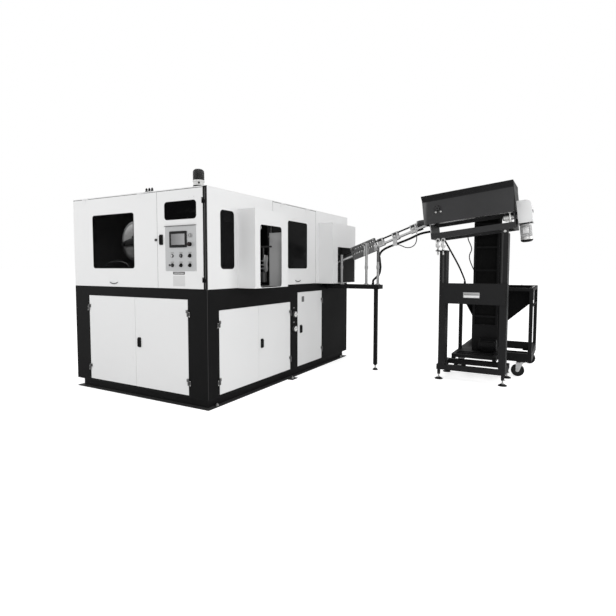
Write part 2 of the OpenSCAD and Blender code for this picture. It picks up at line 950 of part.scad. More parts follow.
module mode_selector() {
  selector(0, 1);
}

module heat_selector() {
  selector(1, 0);
}

module air_selector() {
  selector(0, 0);
}

// Key switch with its key in the lock
module key_switch() {
  color(machine_grey)
    corner_frame()
      translate([-row_x - 2 * button_dx, 0, row_z]) {
        cyl_y(0, -16, 14, 0, button_r);
        translate([-1.5, -32, -3])
          cube([3, 17, 6]);
        difference() {
          cyl_x(-1.5, 1.5, -40, 0, 11);
          cyl_x(-3, 3, -43, 0, 3);
        }
      }
}

module control_latch() {
  color(steel_black)
    corner_frame()
      translate([-seam_x + door_gap / 2 + control_latch_edge, 0, 1580])
        latch(upper_door_t, control_latch_edge + 14);
}

// Side door, hung from its top edge
module side_door() {
  w = side_door_y1 - side_door_y0 - 2 * door_gap;
  win_right = side_win_y - side_door_y0 - door_gap;
  color(panel_white)
    corner_frame()
      on_side(side_door_y0 + door_gap)
        difference() {
          union() {
            translate([0, 0, upper_z0])
              door_pan(w, upper_h, upper_door_t);
            lift_door_half(w);
            moon_grip(win_right - side_win_w / 2, upper_z0 + 26);
          }
          front_slab(win_right - side_win_w, win_z, side_win_w, win_h, win_r, -1, sheet + 1);
        }
}

module side_window() {
  color(tinted)
    corner_frame()
      on_side(side_win_y - side_win_w)
        front_slab(-pane_lap, win_z - pane_lap, side_win_w + 2 * pane_lap,
             win_h + 2 * pane_lap, win_r, sheet, sheet + pane_t);
}

// One leaf of the base doors. hinge is -1 on the left edge and 1 on the right
module base_door(w, h, hinge, latch_x = 0, latch_at = 0) {
  edge = door_gap;
  color(panel_white)
    difference() {
      union() {
        translate([edge, 0, open_z + edge])
          door_pan(w - 2 * edge, h - 2 * edge, base_door_t);
        translate([hinge < 0 ? 0 : w, 0, 0])
          door_hinge_halves(-hinge, open_z, h);
      }
      if (latch_x > 0)
        translate([latch_x, 0, latch_at])
          latch_bore(sheet + 1);
    }
}
latch_z = 565;
side_latch_z = 505;
front_leaf_w = (front_open_w + door_gap) / 2;
side_leaf_w = (side_open_w + door_gap) / 2;

module base_door_front_left() {
  corner_frame()
    translate([-front_open_x - front_open_w, 0, 0])
      base_door(front_leaf_w, front_open_h, -1);
}

module base_door_front_right() {
  corner_frame()
    translate([-front_open_x - front_leaf_w, 0, 0])
      base_door(front_leaf_w, front_open_h, 1, latch_edge, latch_z);
}

module base_door_side_front() {
  corner_frame()
    on_side(side_open_y)
      base_door(side_leaf_w, side_open_h, -1);
}

module base_door_side_rear() {
  corner_frame()
    on_side(side_open_y + side_open_w - side_leaf_w)
      base_door(side_leaf_w, side_open_h, 1, latch_edge, side_latch_z);
}

module base_door_rear() {
  corner_frame()
    on_side(rear_open_y)
      base_door(rear_open_w, rear_open_h, 1, rear_latch_edge, latch_z);
}

module base_latch(x, z, depth, reach) {
  color(steel_black)
    translate([x, 0, z])
      latch(depth, reach);
}

module latch_front() {
  corner_frame()
    translate([-front_open_x - front_leaf_w, 0, 0])
      base_latch(latch_edge, latch_z, base_door_t, latch_edge + 12);
}

module latch_side() {
  corner_frame()
    on_side(side_open_y + side_open_w - side_leaf_w)
      base_latch(latch_edge, side_latch_z, base_door_t, latch_edge + 12);
}

module latch_rear() {
  corner_frame()
    on_side(rear_open_y)
      base_latch(rear_latch_edge, latch_z, wall_t, rear_latch_edge + 12);
}

// Clamp frame: end plates, tie bars, stretch portal and crank pedestal
module clamp_frame() {
  color(machine_grey)
    corner_frame() {
      for (x = [-clamp_x - clamp_half, -clamp_x + clamp_half - end_plate_t])
        span([x, clamp_y0, bed_z], [x + end_plate_t, clamp_y1, portal_z]);
      for (y = tie_y, z = tie_z)
        cyl_x(-clamp_x - clamp_half, -clamp_x + clamp_half, y, z, tie_r);
      difference() {
        span([-clamp_x - clamp_half, clamp_y0 + 180, portal_z],
          [-clamp_x + clamp_half, clamp_y1 - 180, portal_z + 35]);
        stretch_rod_places()
          cyl_z(0, 0, portal_z - 1, portal_z + 36, rod_r + fit_gap);
      }
      for (x = [-clamp_x - 120, -clamp_x + 120])
        cyl_z(x, (clamp_y0 + clamp_y1) / 2, portal_z + 35, cab_h - 60, guide_r);
      crank_pedestal();
    }
}

module stretch_rod_places() {
  for (i = [-0.5, 0.5])
    translate([-clamp_x, (clamp_y0 + clamp_y1) / 2 + i * cavity_pitch, 0])
      children();
}

module crank_pedestal() {
  y0 = crank_y + crank_w + 20;
  difference() {
    union() {
      span([-crank_x - 70, y0, bed_z], [-crank_x + 70, y0 + 90, crank_z]);
      cyl_y(-crank_x, y0, y0 + 90, crank_z, 70);
      span([-crank_x - 130, y0 - 15, bed_z], [-crank_x + 130, y0 + 105, bed_z + 20]);
    }
    cyl_y(-crank_x, y0 - 1, y0 + 91, crank_z, crank_shaft_r + fit_gap);
  }
}

// Spoked drive wheel with a dark rim band, on its shaft and crank pin
module crank_wheel() {
  color(plate_grey)
    corner_frame()
      translate([-crank_x, crank_y, crank_z])
        rotate([-90, 0, 0]) {
          difference() {
            cylinder(h = crank_w, r = crank_r);
            translate([0, 0, -1])
              cylinder(h = 16, r = crank_r - 22);
            for (a = [0:60:300])
              rotate([0, 0, a])
                translate([crank_r * 0.58, 0, -1])
                  cylinder(h = crank_w + 2, r = crank_r * 0.17);
          }
          cylinder(h = crank_w, r = 48);
          cylinder(h = crank_w + 150, r = crank_shaft_r);
        }
}

// Revolved bottle form, neck up, that both mould halves are cut by
module bottle_form() {
  neck_r = 12;
  body_h = 210;
  shoulder_h = 60;
  rotate_extrude()
    polygon([[0, 0], [bottle_r - 6, 0], [bottle_r, 8], [bottle_r, body_h],
        [neck_r, body_h + shoulder_h], [neck_r, mould_h], [0, mould_h]]);
}

// Moving platen with its mould half. side is -1 on the left and 1 on the right
module platen(side) {
  open = clamp_stroke;
  near = side * open;
  mid_y = (clamp_y0 + clamp_y1) / 2;
  color(bright_steel)
    corner_frame()
      translate([-clamp_x + near, 0, 0])
        difference() {
          union() {
            translate([side > 0 ? mould_t : -mould_t - platen_t, clamp_y0, bed_z + 30])
              cube([platen_t, clamp_y1 - clamp_y0, portal_z - bed_z - 60]);
            translate([side > 0 ? 0 : -mould_t, mid_y - 125, mould_z0])
              cube([mould_t, 250, mould_h]);
          }
          for (y = tie_y, z = tie_z)
            cyl_x(-mould_t - platen_t - 1, mould_t + platen_t + 1, y, z, tie_r + fit_gap);
          for (i = [-0.5, 0.5])
            translate([0, mid_y + i * cavity_pitch, mould_z0 + 20])
              bottle_form();
        }
}

module platen_left() {
  platen(-1);
}

module platen_right() {
  platen(1);
}

// Crosshead with the two stretch rods, sliding on the guide columns
module stretch_unit() {
  z0 = portal_z + 70 + stretch_stroke;
  mid_y = (clamp_y0 + clamp_y1) / 2;
  color(bright_steel)
    corner_frame() {
      difference() {
        span([-clamp_x - 160, mid_y - 90, z0], [-clamp_x + 160, mid_y + 90, z0 + 28]);
        for (x = [-clamp_x - 120, -clamp_x + 120])
          cyl_z(x, mid_y, z0 - 1, z0 + 29, guide_r + fit_gap);
      }
      stretch_rod_places() {
        cyl_z(0, 0, portal_z - 60, z0, rod_r);
        cyl_z(0, 0, z0 + 28, z0 + 70, 18);
      }
    }
}

// Preform oven: reflector walls, lamp tubes and the mandrel chain between them
module oven() {
  y0 = 1500;
  y1 = 2700;
  x0 = -1500;
  lane = 220;
  color(machine_grey)
    corner_frame() {
      span([x0, y0, bed_z], [x0 + 420, y1, bed_z + 60]);
      for (x = [x0, x0 + lane + 60]) {
        span([x, y0, bed_z + 60], [x + 60, y1, bed_z + 420]);
        span([x - 12, y0, bed_z + 420], [x + 72, y1, bed_z + 440]);
      }
      for (i = [0:5])
        cyl_y(x0 + 68, y0, y1, bed_z + 120 + i * 50, 8);
      span([x0 + 110, y0, bed_z + 60], [x0 + 230, y1, bed_z + 90]);
      for (i = [0:14])
        cyl_z(x0 + 170, y0 + 60 + i * 76, bed_z + 90, bed_z + 250, 12);
    }
}

// Black side shelf on one leg with its foot plate
module side_shelf() {
  leg_x = 709;
  leg_y = shelf_y + 48;
  leg_w = 43;
  leg_lift = 74;
  color(steel_black)
    corner_frame() {
      difference() {
        span([0, shelf_y, shelf_z - shelf_t], [shelf_w, shelf_y + shelf_d, shelf_z]);
        span([-1, shelf_y + 5, shelf_z - shelf_t - 1], [shelf_w - 5, shelf_y + shelf_d - 5, shelf_z - 5]);
      }
      translate([leg_x - leg_w / 2, leg_y - leg_w / 2, leg_lift])
        cube([leg_w, leg_w, shelf_z - 5 - leg_lift]);
      levelling_foot(leg_x, leg_y, leg_lift, 34);
      cyl_z(630, 2490, shelf_z, shelf_z + 25.7, 17);
    }
}

// Sloping preform rail: two neck bars and the guide rod over them
module infeed_rail() {
  color(bright_steel)
    corner_frame()
      on_rail() {
        for (side = [-1, 1])
          translate([-rail_l, side * (neck_gap / 2 + neck_bar_t / 2) - neck_bar_t / 2, 0])
            cube([rail_l, neck_bar_t, neck_bar_h]);
        cyl_x(-rail_l + 260, -120, 0, guide_z, guide_rod_r);
      }
}

// Clamps, sensor box, perforated guard and the three posts of the rail
module rail_supports() {
  color(machine_grey)
    corner_frame() {
      on_rail() {
        for (x = [-162, -406, -612])
          rail_clamp(x);
        rail_guard(-1037, -678);
      }
      cyl_z(1216, 2422, 1719.4, 1780, 7);
      span([920, 2408, 1594], [969, 2427, 1676]);
      cyl_x(968, 975.6, 2422, 1605.5, 6);
      rail_post(post_x[0], post_y, 1490);
      rail_post(post_x[1], post_y, 1635);
      rail_post(post_x[2], rail_y, rail_under(post_x[2]) - rail_post_r * tan(rail_slope));
    }
}

// Height of the rail's underside above a place along X
function rail_under(x) = rail_end_z - (rail_end_x - x) * tan(rail_slope);

module on_rail() {
  translate([rail_end_x, rail_y, rail_end_z])
    rotate([0, -rail_slope, 0])
      children();
}

// Clamp plates that hold the guide rod over the neck bars
module rail_clamp(x) {
  half = neck_gap / 2 + neck_bar_t;
  for (side = [-1, 1])
    translate([x - 40, side > 0 ? half : -half - 5, -12])
      cube([80, 5, 100]);
  translate([x - 40, -half - 5, guide_z + guide_rod_r])
    cube([80, 2 * half + 10, 7]);
  translate([x - 15, -half - 16, 20])
    cube([30, 11, 30]);
}

// Perforated guard over the lower rail
module rail_guard(x0, x1) {
  half = neck_gap / 2 + neck_bar_t;
  difference() {
    translate([x0, -half - 3, -40])
      cube([x1 - x0, 2 * half + 6, 165]);
    translate([x0 - 1, -half, -41])
      cube([x1 - x0 + 2, 2 * half, 163]);
    for (i = [0:8], z = [20, 75])
      translate([x0 + 22 + i * 36, -half - 4, z])
        cube([22, 2 * half + 8, 30]);
  }
}

// Round post with a foot flange and a collar
module rail_post(x, y, top) {
  cyl_z(x, y, shelf_z, shelf_z + 8, 34);
  cyl_z(x, y, shelf_z, top, rail_post_r);
  cyl_z(x, y, shelf_z + 205, shelf_z + 245, rail_post_r + 4);
}

// Welded stand: base ring, two columns, cross box and levelling feet
module stand_frame() {
  x1 = stand_x + stand_w;
  y1 = stand_y + stand_d;
  z0 = stand_lift;
  z1 = stand_lift + base_tube;
  color(steel_black)
    corner_frame() {
      difference() {
        span([stand_x, stand_y, z0], [x1, y1, z1]);
        span([stand_x + base_tube, stand_y + base_tube, z0 - 1], [x1 - base_tube, y1 - base_tube, z1 + 1]);
      }
      span([column_x(0), stand_y, z1], [column_x(0) + column_w, stand_y + column_d, column_left_h]);
      span([column_x(1), stand_y, z1], [column_x(1) + column_w, stand_y + column_d, column_right_h()]);
      difference() {
        span([column_x(0) - 40, stand_y - 40, column_left_h],
          [column_x(0) + column_w + 8, stand_y + column_d, column_left_h + 10]);
        for (x = eye_x)
          cyl_z(x, eye_y + 6, column_left_h - 1, column_left_h + 11, eye_r + fit_gap);
      }
      cross_box();
      for (x = [stand_x + 25, x1 - 25], y = [stand_y + 20, y1 - 25])
        levelling_foot(x, y);
    }
}

// Left edge of the left (0) and right (1) column
function column_x(i) = i == 0 ? stand_x + 17 : stand_x + stand_w - column_w;

// The right column ends just under the tilted bar's pivot ear
function column_right_h() = tilt_z + (column_x(1) - tilt_x) * tan(tilt) - 38;

module cross_box() {
  z0 = 902;
  z1 = 1140;
  span([column_x(0) + 30, stand_y - 10, z0], [column_x(1) + column_w - 15, stand_y, z1]);
  span([column_x(0) + column_w, stand_y, z0 + 4], [column_x(1), stand_y + 60, z1 - 4]);
  cyl_z(1812, 2330, z1 - 4, z1 + 24.1, 13);
}

module levelling_foot(x, y, lift = stand_lift, r = foot_r) {
  translate([x, y, 0])
    rotate_extrude()
      polygon([[0, 0], [r, 0], [r, 8], [16, 26], [9, 30],
          [9, 60], [18, 60], [18, lift], [0, lift]]);
}

// The tilted group: local X runs up the slope, Z stands off it
module on_tilt() {
  translate([tilt_x, 0, tilt_z])
    rotate([0, -tilt, 0])
      children();
}

// Tilting frame: two long bars, end plates, pivot ears and eye bolts
module tilt_frame() {
  y1 = stand_y + tilt_d;
  color(steel_black)
    corner_frame() {
      on_tilt() {
        for (y = [stand_y, y1 - bar_t])
          span([0, y, 0], [bar_l, y + bar_t, bar_h]);
        span([-45, stand_y, 0], [-45 + end_t, y1, trough_z0]);
        span([-36, stand_y, 0], [0, y1, bar_h]);
        span([bar_l + 25, stand_y, 0], [bar_l + 25 + end_t, y1, trough_z0]);
        span([bar_l, stand_y, 0], [bar_l + 26, y1, bar_h]);
        translate([-67, 0, 112])
          cyl_x(0, 23, 2490, 0, 17);
      }
      pivot_ear();
      eye_bolt(eye_x[0]);
      eye_bolt(eye_x[1]);
      cyl_z(1567, 2330, 1667.3, tilt_under(1567) + 3, 11);
      cyl_z(1768, 2712, 1689.8, tilt_under(1768) + 3, 7);
    }
}

// Height of the tilted bars' underside above a place along X
function tilt_under(x) = tilt_z + (x - tilt_x) * tan(tilt);

// Ear and pin that carry the bar on the right column
module pivot_ear() {
  x = column_x(1) + column_w / 2;
  z = tilt_under(x) - 18;
  difference() {
    span([x - 34, stand_y + 2, column_right_h()], [x + 34, stand_y + bar_t - 2, tilt_under(x) + 4]);
    on_tilt()
      span([-10, stand_y - 10, 0], [bar_l + 10, stand_y + 400, bar_h]);
  }
  cyl_y(x, stand_y - 8, stand_y + 2, z - 2, 14);
}

// Eye bolt from the column's top plate up to the pin on the bar's lug
module eye_bolt(x) {
  eye_z = tilt_under(x) - 28;
  difference() {
    cyl_y(x, eye_y, eye_y + 12, eye_z, 24);
    cyl_y(x, eye_y - 1, eye_y + 13, eye_z, 12.3);
  }
  cyl_z(x, eye_y + 6, column_left_h - 32, eye_z - 20, eye_r);
  cyl_z(x, eye_y + 6, column_left_h + 10, column_left_h + 22, 15);
  cyl_z(x, eye_y + 6, column_left_h - 14, column_left_h, 11.5);
  cyl_y(x, eye_y - 8, stand_y + 1, eye_z, 12);
  span([x - 14, stand_y - 5, eye_z - 14], [x + 14, stand_y + 2, tilt_under(x) + 20]);
}

// The trough's walls and slides in depth and height, with the gap over the rail
module trough_section() {
  low = 98;
  high = trough_h - 42;
  reach = roller_gap / 2 + 2 * roller_r - 2;
  for (m = [0, 1])
    translate([m * trough_d, 0])
      mirror([m, 0]) {
        square([wall, trough_h]);
        polygon([[0, trough_h], [wall, trough_h], [wall - lip_out, trough_h + lip_h],
                 [-lip_out, trough_h + lip_h]]);
      }
  slide_plate(wall, high, roller_y - trough_y0 - reach, low);
  slide_plate(trough_d - wall, high, roller_y - trough_y0 + reach, low);
}

module slide_plate(y0, z0, y1, z1) {
  polygon([[y0, z0 - wall], [y0, z0 + wall], [y1, z1 + wall], [y1, z1 - wall]]);
}

module trough_end() {
  polygon([[0, 0], [trough_d, 0], [trough_d, trough_h], [trough_d + lip_out, trough_h + lip_h],
      [-lip_out, trough_h + lip_h], [0, trough_h]]);
}

// Lofted along local X from a section drawn in depth and height
module along_trough(x0, x1) {
  translate([x0, trough_y0, trough_z0])
    rotate([90, 0, 90])
      linear_extrude(x1 - x0)
        children();
}

module trough() {
  x1 = trough_x0 + trough_l;
  color("#3a3b3d")
    corner_frame()
      on_tilt()
        difference() {
          union() {
            along_trough(trough_x0, x1)
              trough_section();
            along_trough(trough_x0, trough_x0 + wall)
              trough_end();
            along_trough(x1 - wall, x1)
              trough_end();
            translate([72, trough_y0 - 14, trough_z0 + 167])
              trough_knob();
          }
          for (s = [-1, 1])
            cyl_x(trough_x0 - 1, x1 + 1, roller_y + s * (roller_r + roller_gap / 2), roller_z,
               shaft_r + fit_gap);
          span([trough_x0 - 1, roller_y - 14, trough_z0 + 40],
            [trough_x0 + wall + 1, roller_y + 14, trough_z0 + 230]);
        }
}

// Five-lobed clamp knob on the trough's front wall
module trough_knob() {
  cyl_y(0, 0, 14, 0, 9);
  for (a = [0:72:288])
    rotate([0, a, 0])
      cyl_y(0, -12, 4, 22, 10);
  cyl_y(0, -12, 4, 0, 20);
}

// Feed roller on its shaft. side is -1 in front and 1 behind
module roller(side) {
  x1 = trough_x0 + trough_l;
  color(bright_steel)
    corner_frame()
      on_tilt() {
        cyl_x(trough_x0 + wall + 2, x1 - wall - 2, roller_y + side * (roller_r + roller_gap / 2),
           roller_z, roller_r);
        cyl_x(trough_x0 - 6, x1 + 40, roller_y + side * (roller_r + roller_gap / 2),
           roller_z, shaft_r);
      }
}

module roller_front() {
  roller(-1);
}

module roller_rear() {
  roller(1);
}

// Drive group: white gear cover, finned motor, small vibrator and exit wheel motor
module feeder_drive() {
  x0 = trough_x0 + trough_l;
  cover_w = 146;
  cover_z0 = 45;
  cover_h = 247;
  color(panel_white)
    corner_frame()
      on_tilt() {
        difference() {
          translate([x0, cover_y0, cover_z0])
            cover_form(cover_w, cover_d, cover_h);
          translate([x0 - 1, cover_y0 + 5, cover_z0 + 60])
            cube([cover_w - 12, cover_d - 10, cover_h - 90]);
        }
        span([bar_l + 25 + end_t, cover_y0 + 30, cover_z0 + 10], [x0 + 1, cover_y0 + 180, cover_z0 + 55]);
        finned_motor(x0 + 62, cover_y0 + cover_d / 2, cover_z0);
        cyl_x(bar_l - 92, bar_l + 25, stand_y + 49, 118, 29);
        cyl_x(trough_x0 - 182, trough_x0, roller_y + 150, trough_z0 + 62, 44);
        cyl_z(bar_l - 12, stand_y + 9, bar_h, trough_z0 + 10, 9);
      }
}

// Cover with one big rounded shoulder, drawn from its front outline
module cover_form(w, d, h) {
  r = 58;
  translate([0, d, 0])
    rotate([90, 0, 0])
      linear_extrude(d) {
        square([w - r, h]);
        square([w, h - r]);
        translate([w - r, h - r])
          circle(r);
      }
}

// Hanging motor with cooling fins and a fan cowl
module finned_motor(x, y, top) {
  cyl_z(x, y, top - 12, top, 66);
  cyl_z(x, y, top - 200, top - 12, 52);
  for (i = [0:11])
    translate([x, y, top - 150])
      rotate([0, 0, i * 30])
        translate([50, -2, 0])
          cube([11, 4, 130]);
  cyl_z(x, y, top - 205, top - 158, 62);
}

// Vertical elevator: side channels, cleated belt, boot, motor and discharge chute
module elevator() {
  x1 = elevator_x + elevator_w;
  y1 = elevator_y + elevator_d;
  cheek = 26;
  color(steel_black)
    corner_frame() {
      for (x = [elevator_x, x1 - cheek])
        difference() {
          span([x, elevator_y, elevator_z], [x + cheek, y1, elevator_top]);
          span([x == elevator_x ? x - 1 : x + 4, elevator_y + 8, elevator_z + 30],
            [x == elevator_x ? x + cheek - 4 : x + cheek + 1, y1 - 8, elevator_top - 30]);
        }
      elevator_belt(elevator_x + cheek, x1 - cheek);
      span([elevator_x + cheek, elevator_y + 10, elevator_z], [x1 - cheek, y1 - 10, elevator_z + 12]);
      span([elevator_x + cheek, elevator_y, elevator_z + 12], [x1 - cheek, elevator_y + 5, 620]);
      elevator_motor();
      discharge_chute(elevator_x + cheek, x1 - cheek);
      cyl_y(1843, 2777.7, elevator_y, 1281, 8);
    }
}

// Belt loop round two drums, with cleats down its front run
module elevator_belt(x0, x1) {
  drum_r = 62;
  y = elevator_y + elevator_d / 2;
  zb = elevator_z + 90;
  zt = elevator_top - 90;
  for (z = [zb, zt])
    cyl_x(x0, x1, y, z, drum_r);
  span([x0, y - drum_r, zb], [x1, y - drum_r + 8, zt]);
  span([x0, y + drum_r - 8, zb], [x1, y + drum_r, zt]);
  for (i = [0:floor((zt - zb - 60) / cleat_pitch)])
    translate([x0, y - drum_r - 30, zb + 40 + i * cleat_pitch])
      cube([x1 - x0, 32, 22]);
}

module elevator_motor() {
  x = elevator_x + 110;
  cyl_x(x, x + 175, elevator_y - 78, elevator_z + 88, 68);
  cyl_x(x - 12, x, elevator_y - 78, elevator_z + 88, 74);
  cyl_x(x + 175, x + 187, elevator_y - 78, elevator_z + 88, 74);
  span([x + 20, elevator_y - 60, elevator_z], [x + 150, elevator_y + 1, elevator_z + 60]);
}

// Chute that drops the preforms over the trough's back wall
module discharge_chute(x0, x1) {
  y1 = elevator_y + 6;
  y0 = trough_y0 + trough_d - 60;
  z1 = elevator_top - 10;
  translate([x0, 0, 0])
    rotate([90, 0, 90])
      linear_extrude(x1 - x0)
        polygon([[y1, z1], [y0, z1 - 40], [y0, z1 - 45], [y1, z1 - 5]]);
  for (x = [x0, x1 - 3])
    translate([x, 0, 0])
      rotate([90, 0, 90])
        linear_extrude(3)
          polygon([[y1, z1 - 5], [y1, z1 + 8], [y0, z1 - 10], [y0, z1 - 45]]);
}

// Sheet hopper: straight rim over a lopsided funnel down to the elevator's boot
module hopper() {
  rim_x0 = cart_x0 + cart_tube + 2;
  rim_x1 = cart_x1 - cart_tube - 2;
  y1 = cart_y1 - cart_tube - 2;
  color(steel_black)
    corner_frame()
      difference() {
        union() {
          hopper_form(0, rim_x0, rim_x1, y1);
          span([cart_x0, hopper_y, hopper_top - wall], [cart_x1, cart_y1, hopper_top]);
        }
        hopper_form(wall, rim_x0, rim_x1, y1);
      }
}

hopper_straight = 195;
spout_z = 560;

module hopper_form(t, x0, x1, y1) {
  z1 = hopper_top - hopper_straight;
  extra = t > 0 ? 1 : 0;
  span([x0 + t, hopper_y + t, z1 - extra], [x1 - t, y1 - t, hopper_top + extra]);
  hull() {
    span([x0 + t, hopper_y + t, z1 - 1], [x1 - t, y1 - t, z1]);
    span([elevator_x + 40 + t, hopper_y + t, spout_z - extra],
      [elevator_x + elevator_w - 20 - t, hopper_y + 200 - t, spout_z + 1]);
  }
}

// Welded cart: legs, top ring, base ring, tongue, tray and caster plates
module cart_frame() {
  t = cart_tube;
  color(steel_black)
    corner_frame()
      difference() {
        union() {
          for (x = [cart_x0, cart_x1 - t], y = [cart_y0, cart_y1 - t])
            span([x, y, cart_z1], [x + t, y + t, hopper_top - t]);
          cart_ring(hopper_top - t, hopper_top - wall, hopper_y);
          cart_ring(cart_z0, cart_z1, cart_y0);
          cart_tongue();
          for (y = [caster_y - 50, cart_y1 - 95], x = caster_xs())
            span([x + trail - 50, y, cart_z0 - 8], [x + trail + 50, y + 100, cart_z0]);
          for (x = rear_xs())
            rear_fork(x, cart_y1 - 45);
          span([cart_x0 + t - 1, hopper_y - 12, cart_z1 - 20], [cart_x1 - t + 1, hopper_y + 28, cart_z1]);
        }
        for (x = caster_xs())
          cyl_z(x + trail, caster_y, cart_z0 - 20, cart_z0 + 40, kingpin_r + fit_gap);
      }
}

// Wheel centres along X, left then right
function caster_xs() = [cart_x0 + 14, cart_x1 - 150];

// The rear wheels trail to the other side
function rear_xs() = [for (x = caster_xs()) x + 2 * trail];

// Rectangular tube ring of the cart between two heights
module cart_ring(z0, z1, y0) {
  t = cart_tube;
  difference() {
    span([cart_x0, cart_y0, z0], [cart_x1, cart_y1, z1]);
    span([cart_x0 + t, cart_y0 + t, z0 - 1], [cart_x1 - t, cart_y1 - t, z1 + 1]);
    if (y0 > cart_y0)
      span([elevator_x - 6, cart_y0 - 1, z0 - 1],
        [elevator_x + elevator_w + 6, cart_y0 + t + 1, z1 + 1]);
  }
}

// Front tongue with cross bars and the tray that the elevator stands on
module cart_tongue() {
  y0 = stand_y + column_d + 14;
  x1 = elevator_x + elevator_w + 30;
  for (x = [cart_x0, x1 - 40])
    span([x, y0, cart_z0 + 40], [x + 40, cart_y0, cart_z1]);
  for (y = [y0, y0 + 120, y0 + 240])
    span([cart_x0, y, cart_z0 + 60], [x1, y + 30, cart_z1]);
  span([cart_x0 + 26, elevator_y - 150, cart_z1], [x1, elevator_y + elevator_d + 10, cart_z1 + tray_t]);
}

// Fork of a fixed rear caster, welded under the cart
module rear_fork(x, y) {
  cheek = wheel_w / 2 + 4;
  for (s = [-1, 1])
    difference() {
      span([x - 24, s > 0 ? y + cheek : y - cheek - 5, wheel_r - 20],
        [x + 24, s > 0 ? y + cheek + 5 : y - cheek, cart_z0 - 7]);
    }
  cyl_y(x, y - cheek - 8, y + cheek + 8, wheel_r, axle_r);
}

// Swivelling front fork with its kingpin and axle
module caster_fork(x) {
  y = caster_y;
  cheek = wheel_w / 2 + 4;
  color(bright_steel)
    corner_frame() {
      cyl_z(x + trail, y, cart_z0 - 22, cart_z0 - 8.3, 36);
      cyl_z(x + trail, y, cart_z0 - 22, cart_z0 + 20, kingpin_r);
      span([x - 20, y - cheek - 5, cart_z0 - 30], [x + trail + 24, y + cheek + 5, cart_z0 - 22]);
      for (s = [-1, 1])
        translate([0, s > 0 ? y + cheek : y - cheek - 5, 0])
          fork_cheek(x);
      cyl_y(x, y - cheek - 8, y + cheek + 8, wheel_r, axle_r);
    }
}

// Tapered fork cheek between the swivel head and the axle
module fork_cheek(x) {
  top = cart_z0 - 26;
  translate([0, 5, 0])
    rotate([90, 0, 0])
      linear_extrude(5) {
        polygon([[x - 20, top], [x + trail + 20, top], [x + 20, wheel_r - 6], [x - 18, wheel_r - 6]]);
        translate([x, wheel_r])
          circle(20);
      }
}

module caster_fork_left() {
  caster_fork(caster_xs()[0]);
}

module caster_fork_right() {
  caster_fork(caster_xs()[1]);
}

// Wheel with a dished hub, on its axle
module caster_wheel(x, y) {
  color(steel_black)
    corner_frame()
      translate([x, y - wheel_w / 2, wheel_r])
        rotate([-90, 0, 0])
          rotate_extrude()
            difference() {
              translate([axle_r + fit_gap, 0])
                square([wheel_r - axle_r - fit_gap, wheel_w]);
              for (z = [0, wheel_w])
                translate([wheel_r * 0.5, z])
                  square([wheel_r * 0.4, 12], center = true);
            }
}

module wheel_front_left() {
  caster_wheel(caster_xs()[0], caster_y);
}

module wheel_front_right() {
  caster_wheel(caster_xs()[1], caster_y);
}

module wheel_rear_left() {
  caster_wheel(rear_xs()[0], cart_y1 - 45);
}

module wheel_rear_right() {
  caster_wheel(rear_xs()[1], cart_y1 - 45);
}

// Tube swept along a route that keeps near one XZ plane
tube_sides = 8;

function unit(v) = v / norm(v);

function route_dir(p, i) =
  i == 0 ? unit(p[1] - p[0]) :
  i == len(p) - 1 ? unit(p[i] - p[i - 1]) :
  unit(unit(p[i + 1] - p[i]) + unit(p[i] - p[i - 1]));

function ring_points(p, i, r) =
  let (d = route_dir(p, i), u = unit(cross([0, 1, 0], d)), v = cross(d, u))
  [for (k = [0:tube_sides - 1]) p[i] + r * (cos(k * 360 / tube_sides) * u + sin(k * 360 / tube_sides) * v)];

module cable(route, r) {
  n = len(route);
  s = tube_sides;
  points = [for (i = [0:n - 1], q = ring_points(route, i, r)) q];
  sides = [for (i = [0:n - 2], k = [0:s - 1])
    [i * s + k, (i + 1) * s + k, (i + 1) * s + (k + 1) % s, i * s + (k + 1) % s]];
  first = [for (k = [0:s - 1]) k];
  last = [for (k = [s - 1:-1:0]) (n - 1) * s + k];
  color(steel_black)
    corner_frame()
      polyhedron(points = points, faces = concat(sides, [first, last]), convexity = 4);
}

module rail_cable() {
  cable(rail_cable_route, rail_cable_r);
}

module sensor_cable() {
  cable(sensor_cable_route, sensor_cable_r);
}

module feeder_cable() {
  cable(feeder_cable_route, feeder_cable_r);
}

module elevator_cable() {
  cable(elevator_cable_route, elevator_cable_r);
}

plinth();
base_frame();
cabinet_shell();
long_window();
outlet_hood();
infeed_hood();
beacon_base();
beacon_lens();
front_door();
front_window();
control_door();
control_window();
control_plate();
touch_screen();
emergency_stop();
start_button();
stop_button();
mode_selector();
heat_selector();
air_selector();
key_switch();
control_latch();
side_door();
side_window();
base_door_front_left();
base_door_front_right();
base_door_side_front();
base_door_side_rear();
base_door_rear();
latch_front();
latch_side();
latch_rear();
clamp_frame();
platen_left();
platen_right();
stretch_unit();
crank_wheel();
oven();
side_shelf();
infeed_rail();
rail_supports();
stand_frame();
tilt_frame();
trough();
roller_front();
roller_rear();
feeder_drive();
elevator();
hopper();
cart_frame();
caster_fork_left();
caster_fork_right();
wheel_front_left();
wheel_front_right();
wheel_rear_left();
wheel_rear_right();
rail_cable();
sensor_cable();
feeder_cable();
elevator_cable();
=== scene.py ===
import math

import bmesh
import bpy
from mathutils import Matrix, Vector


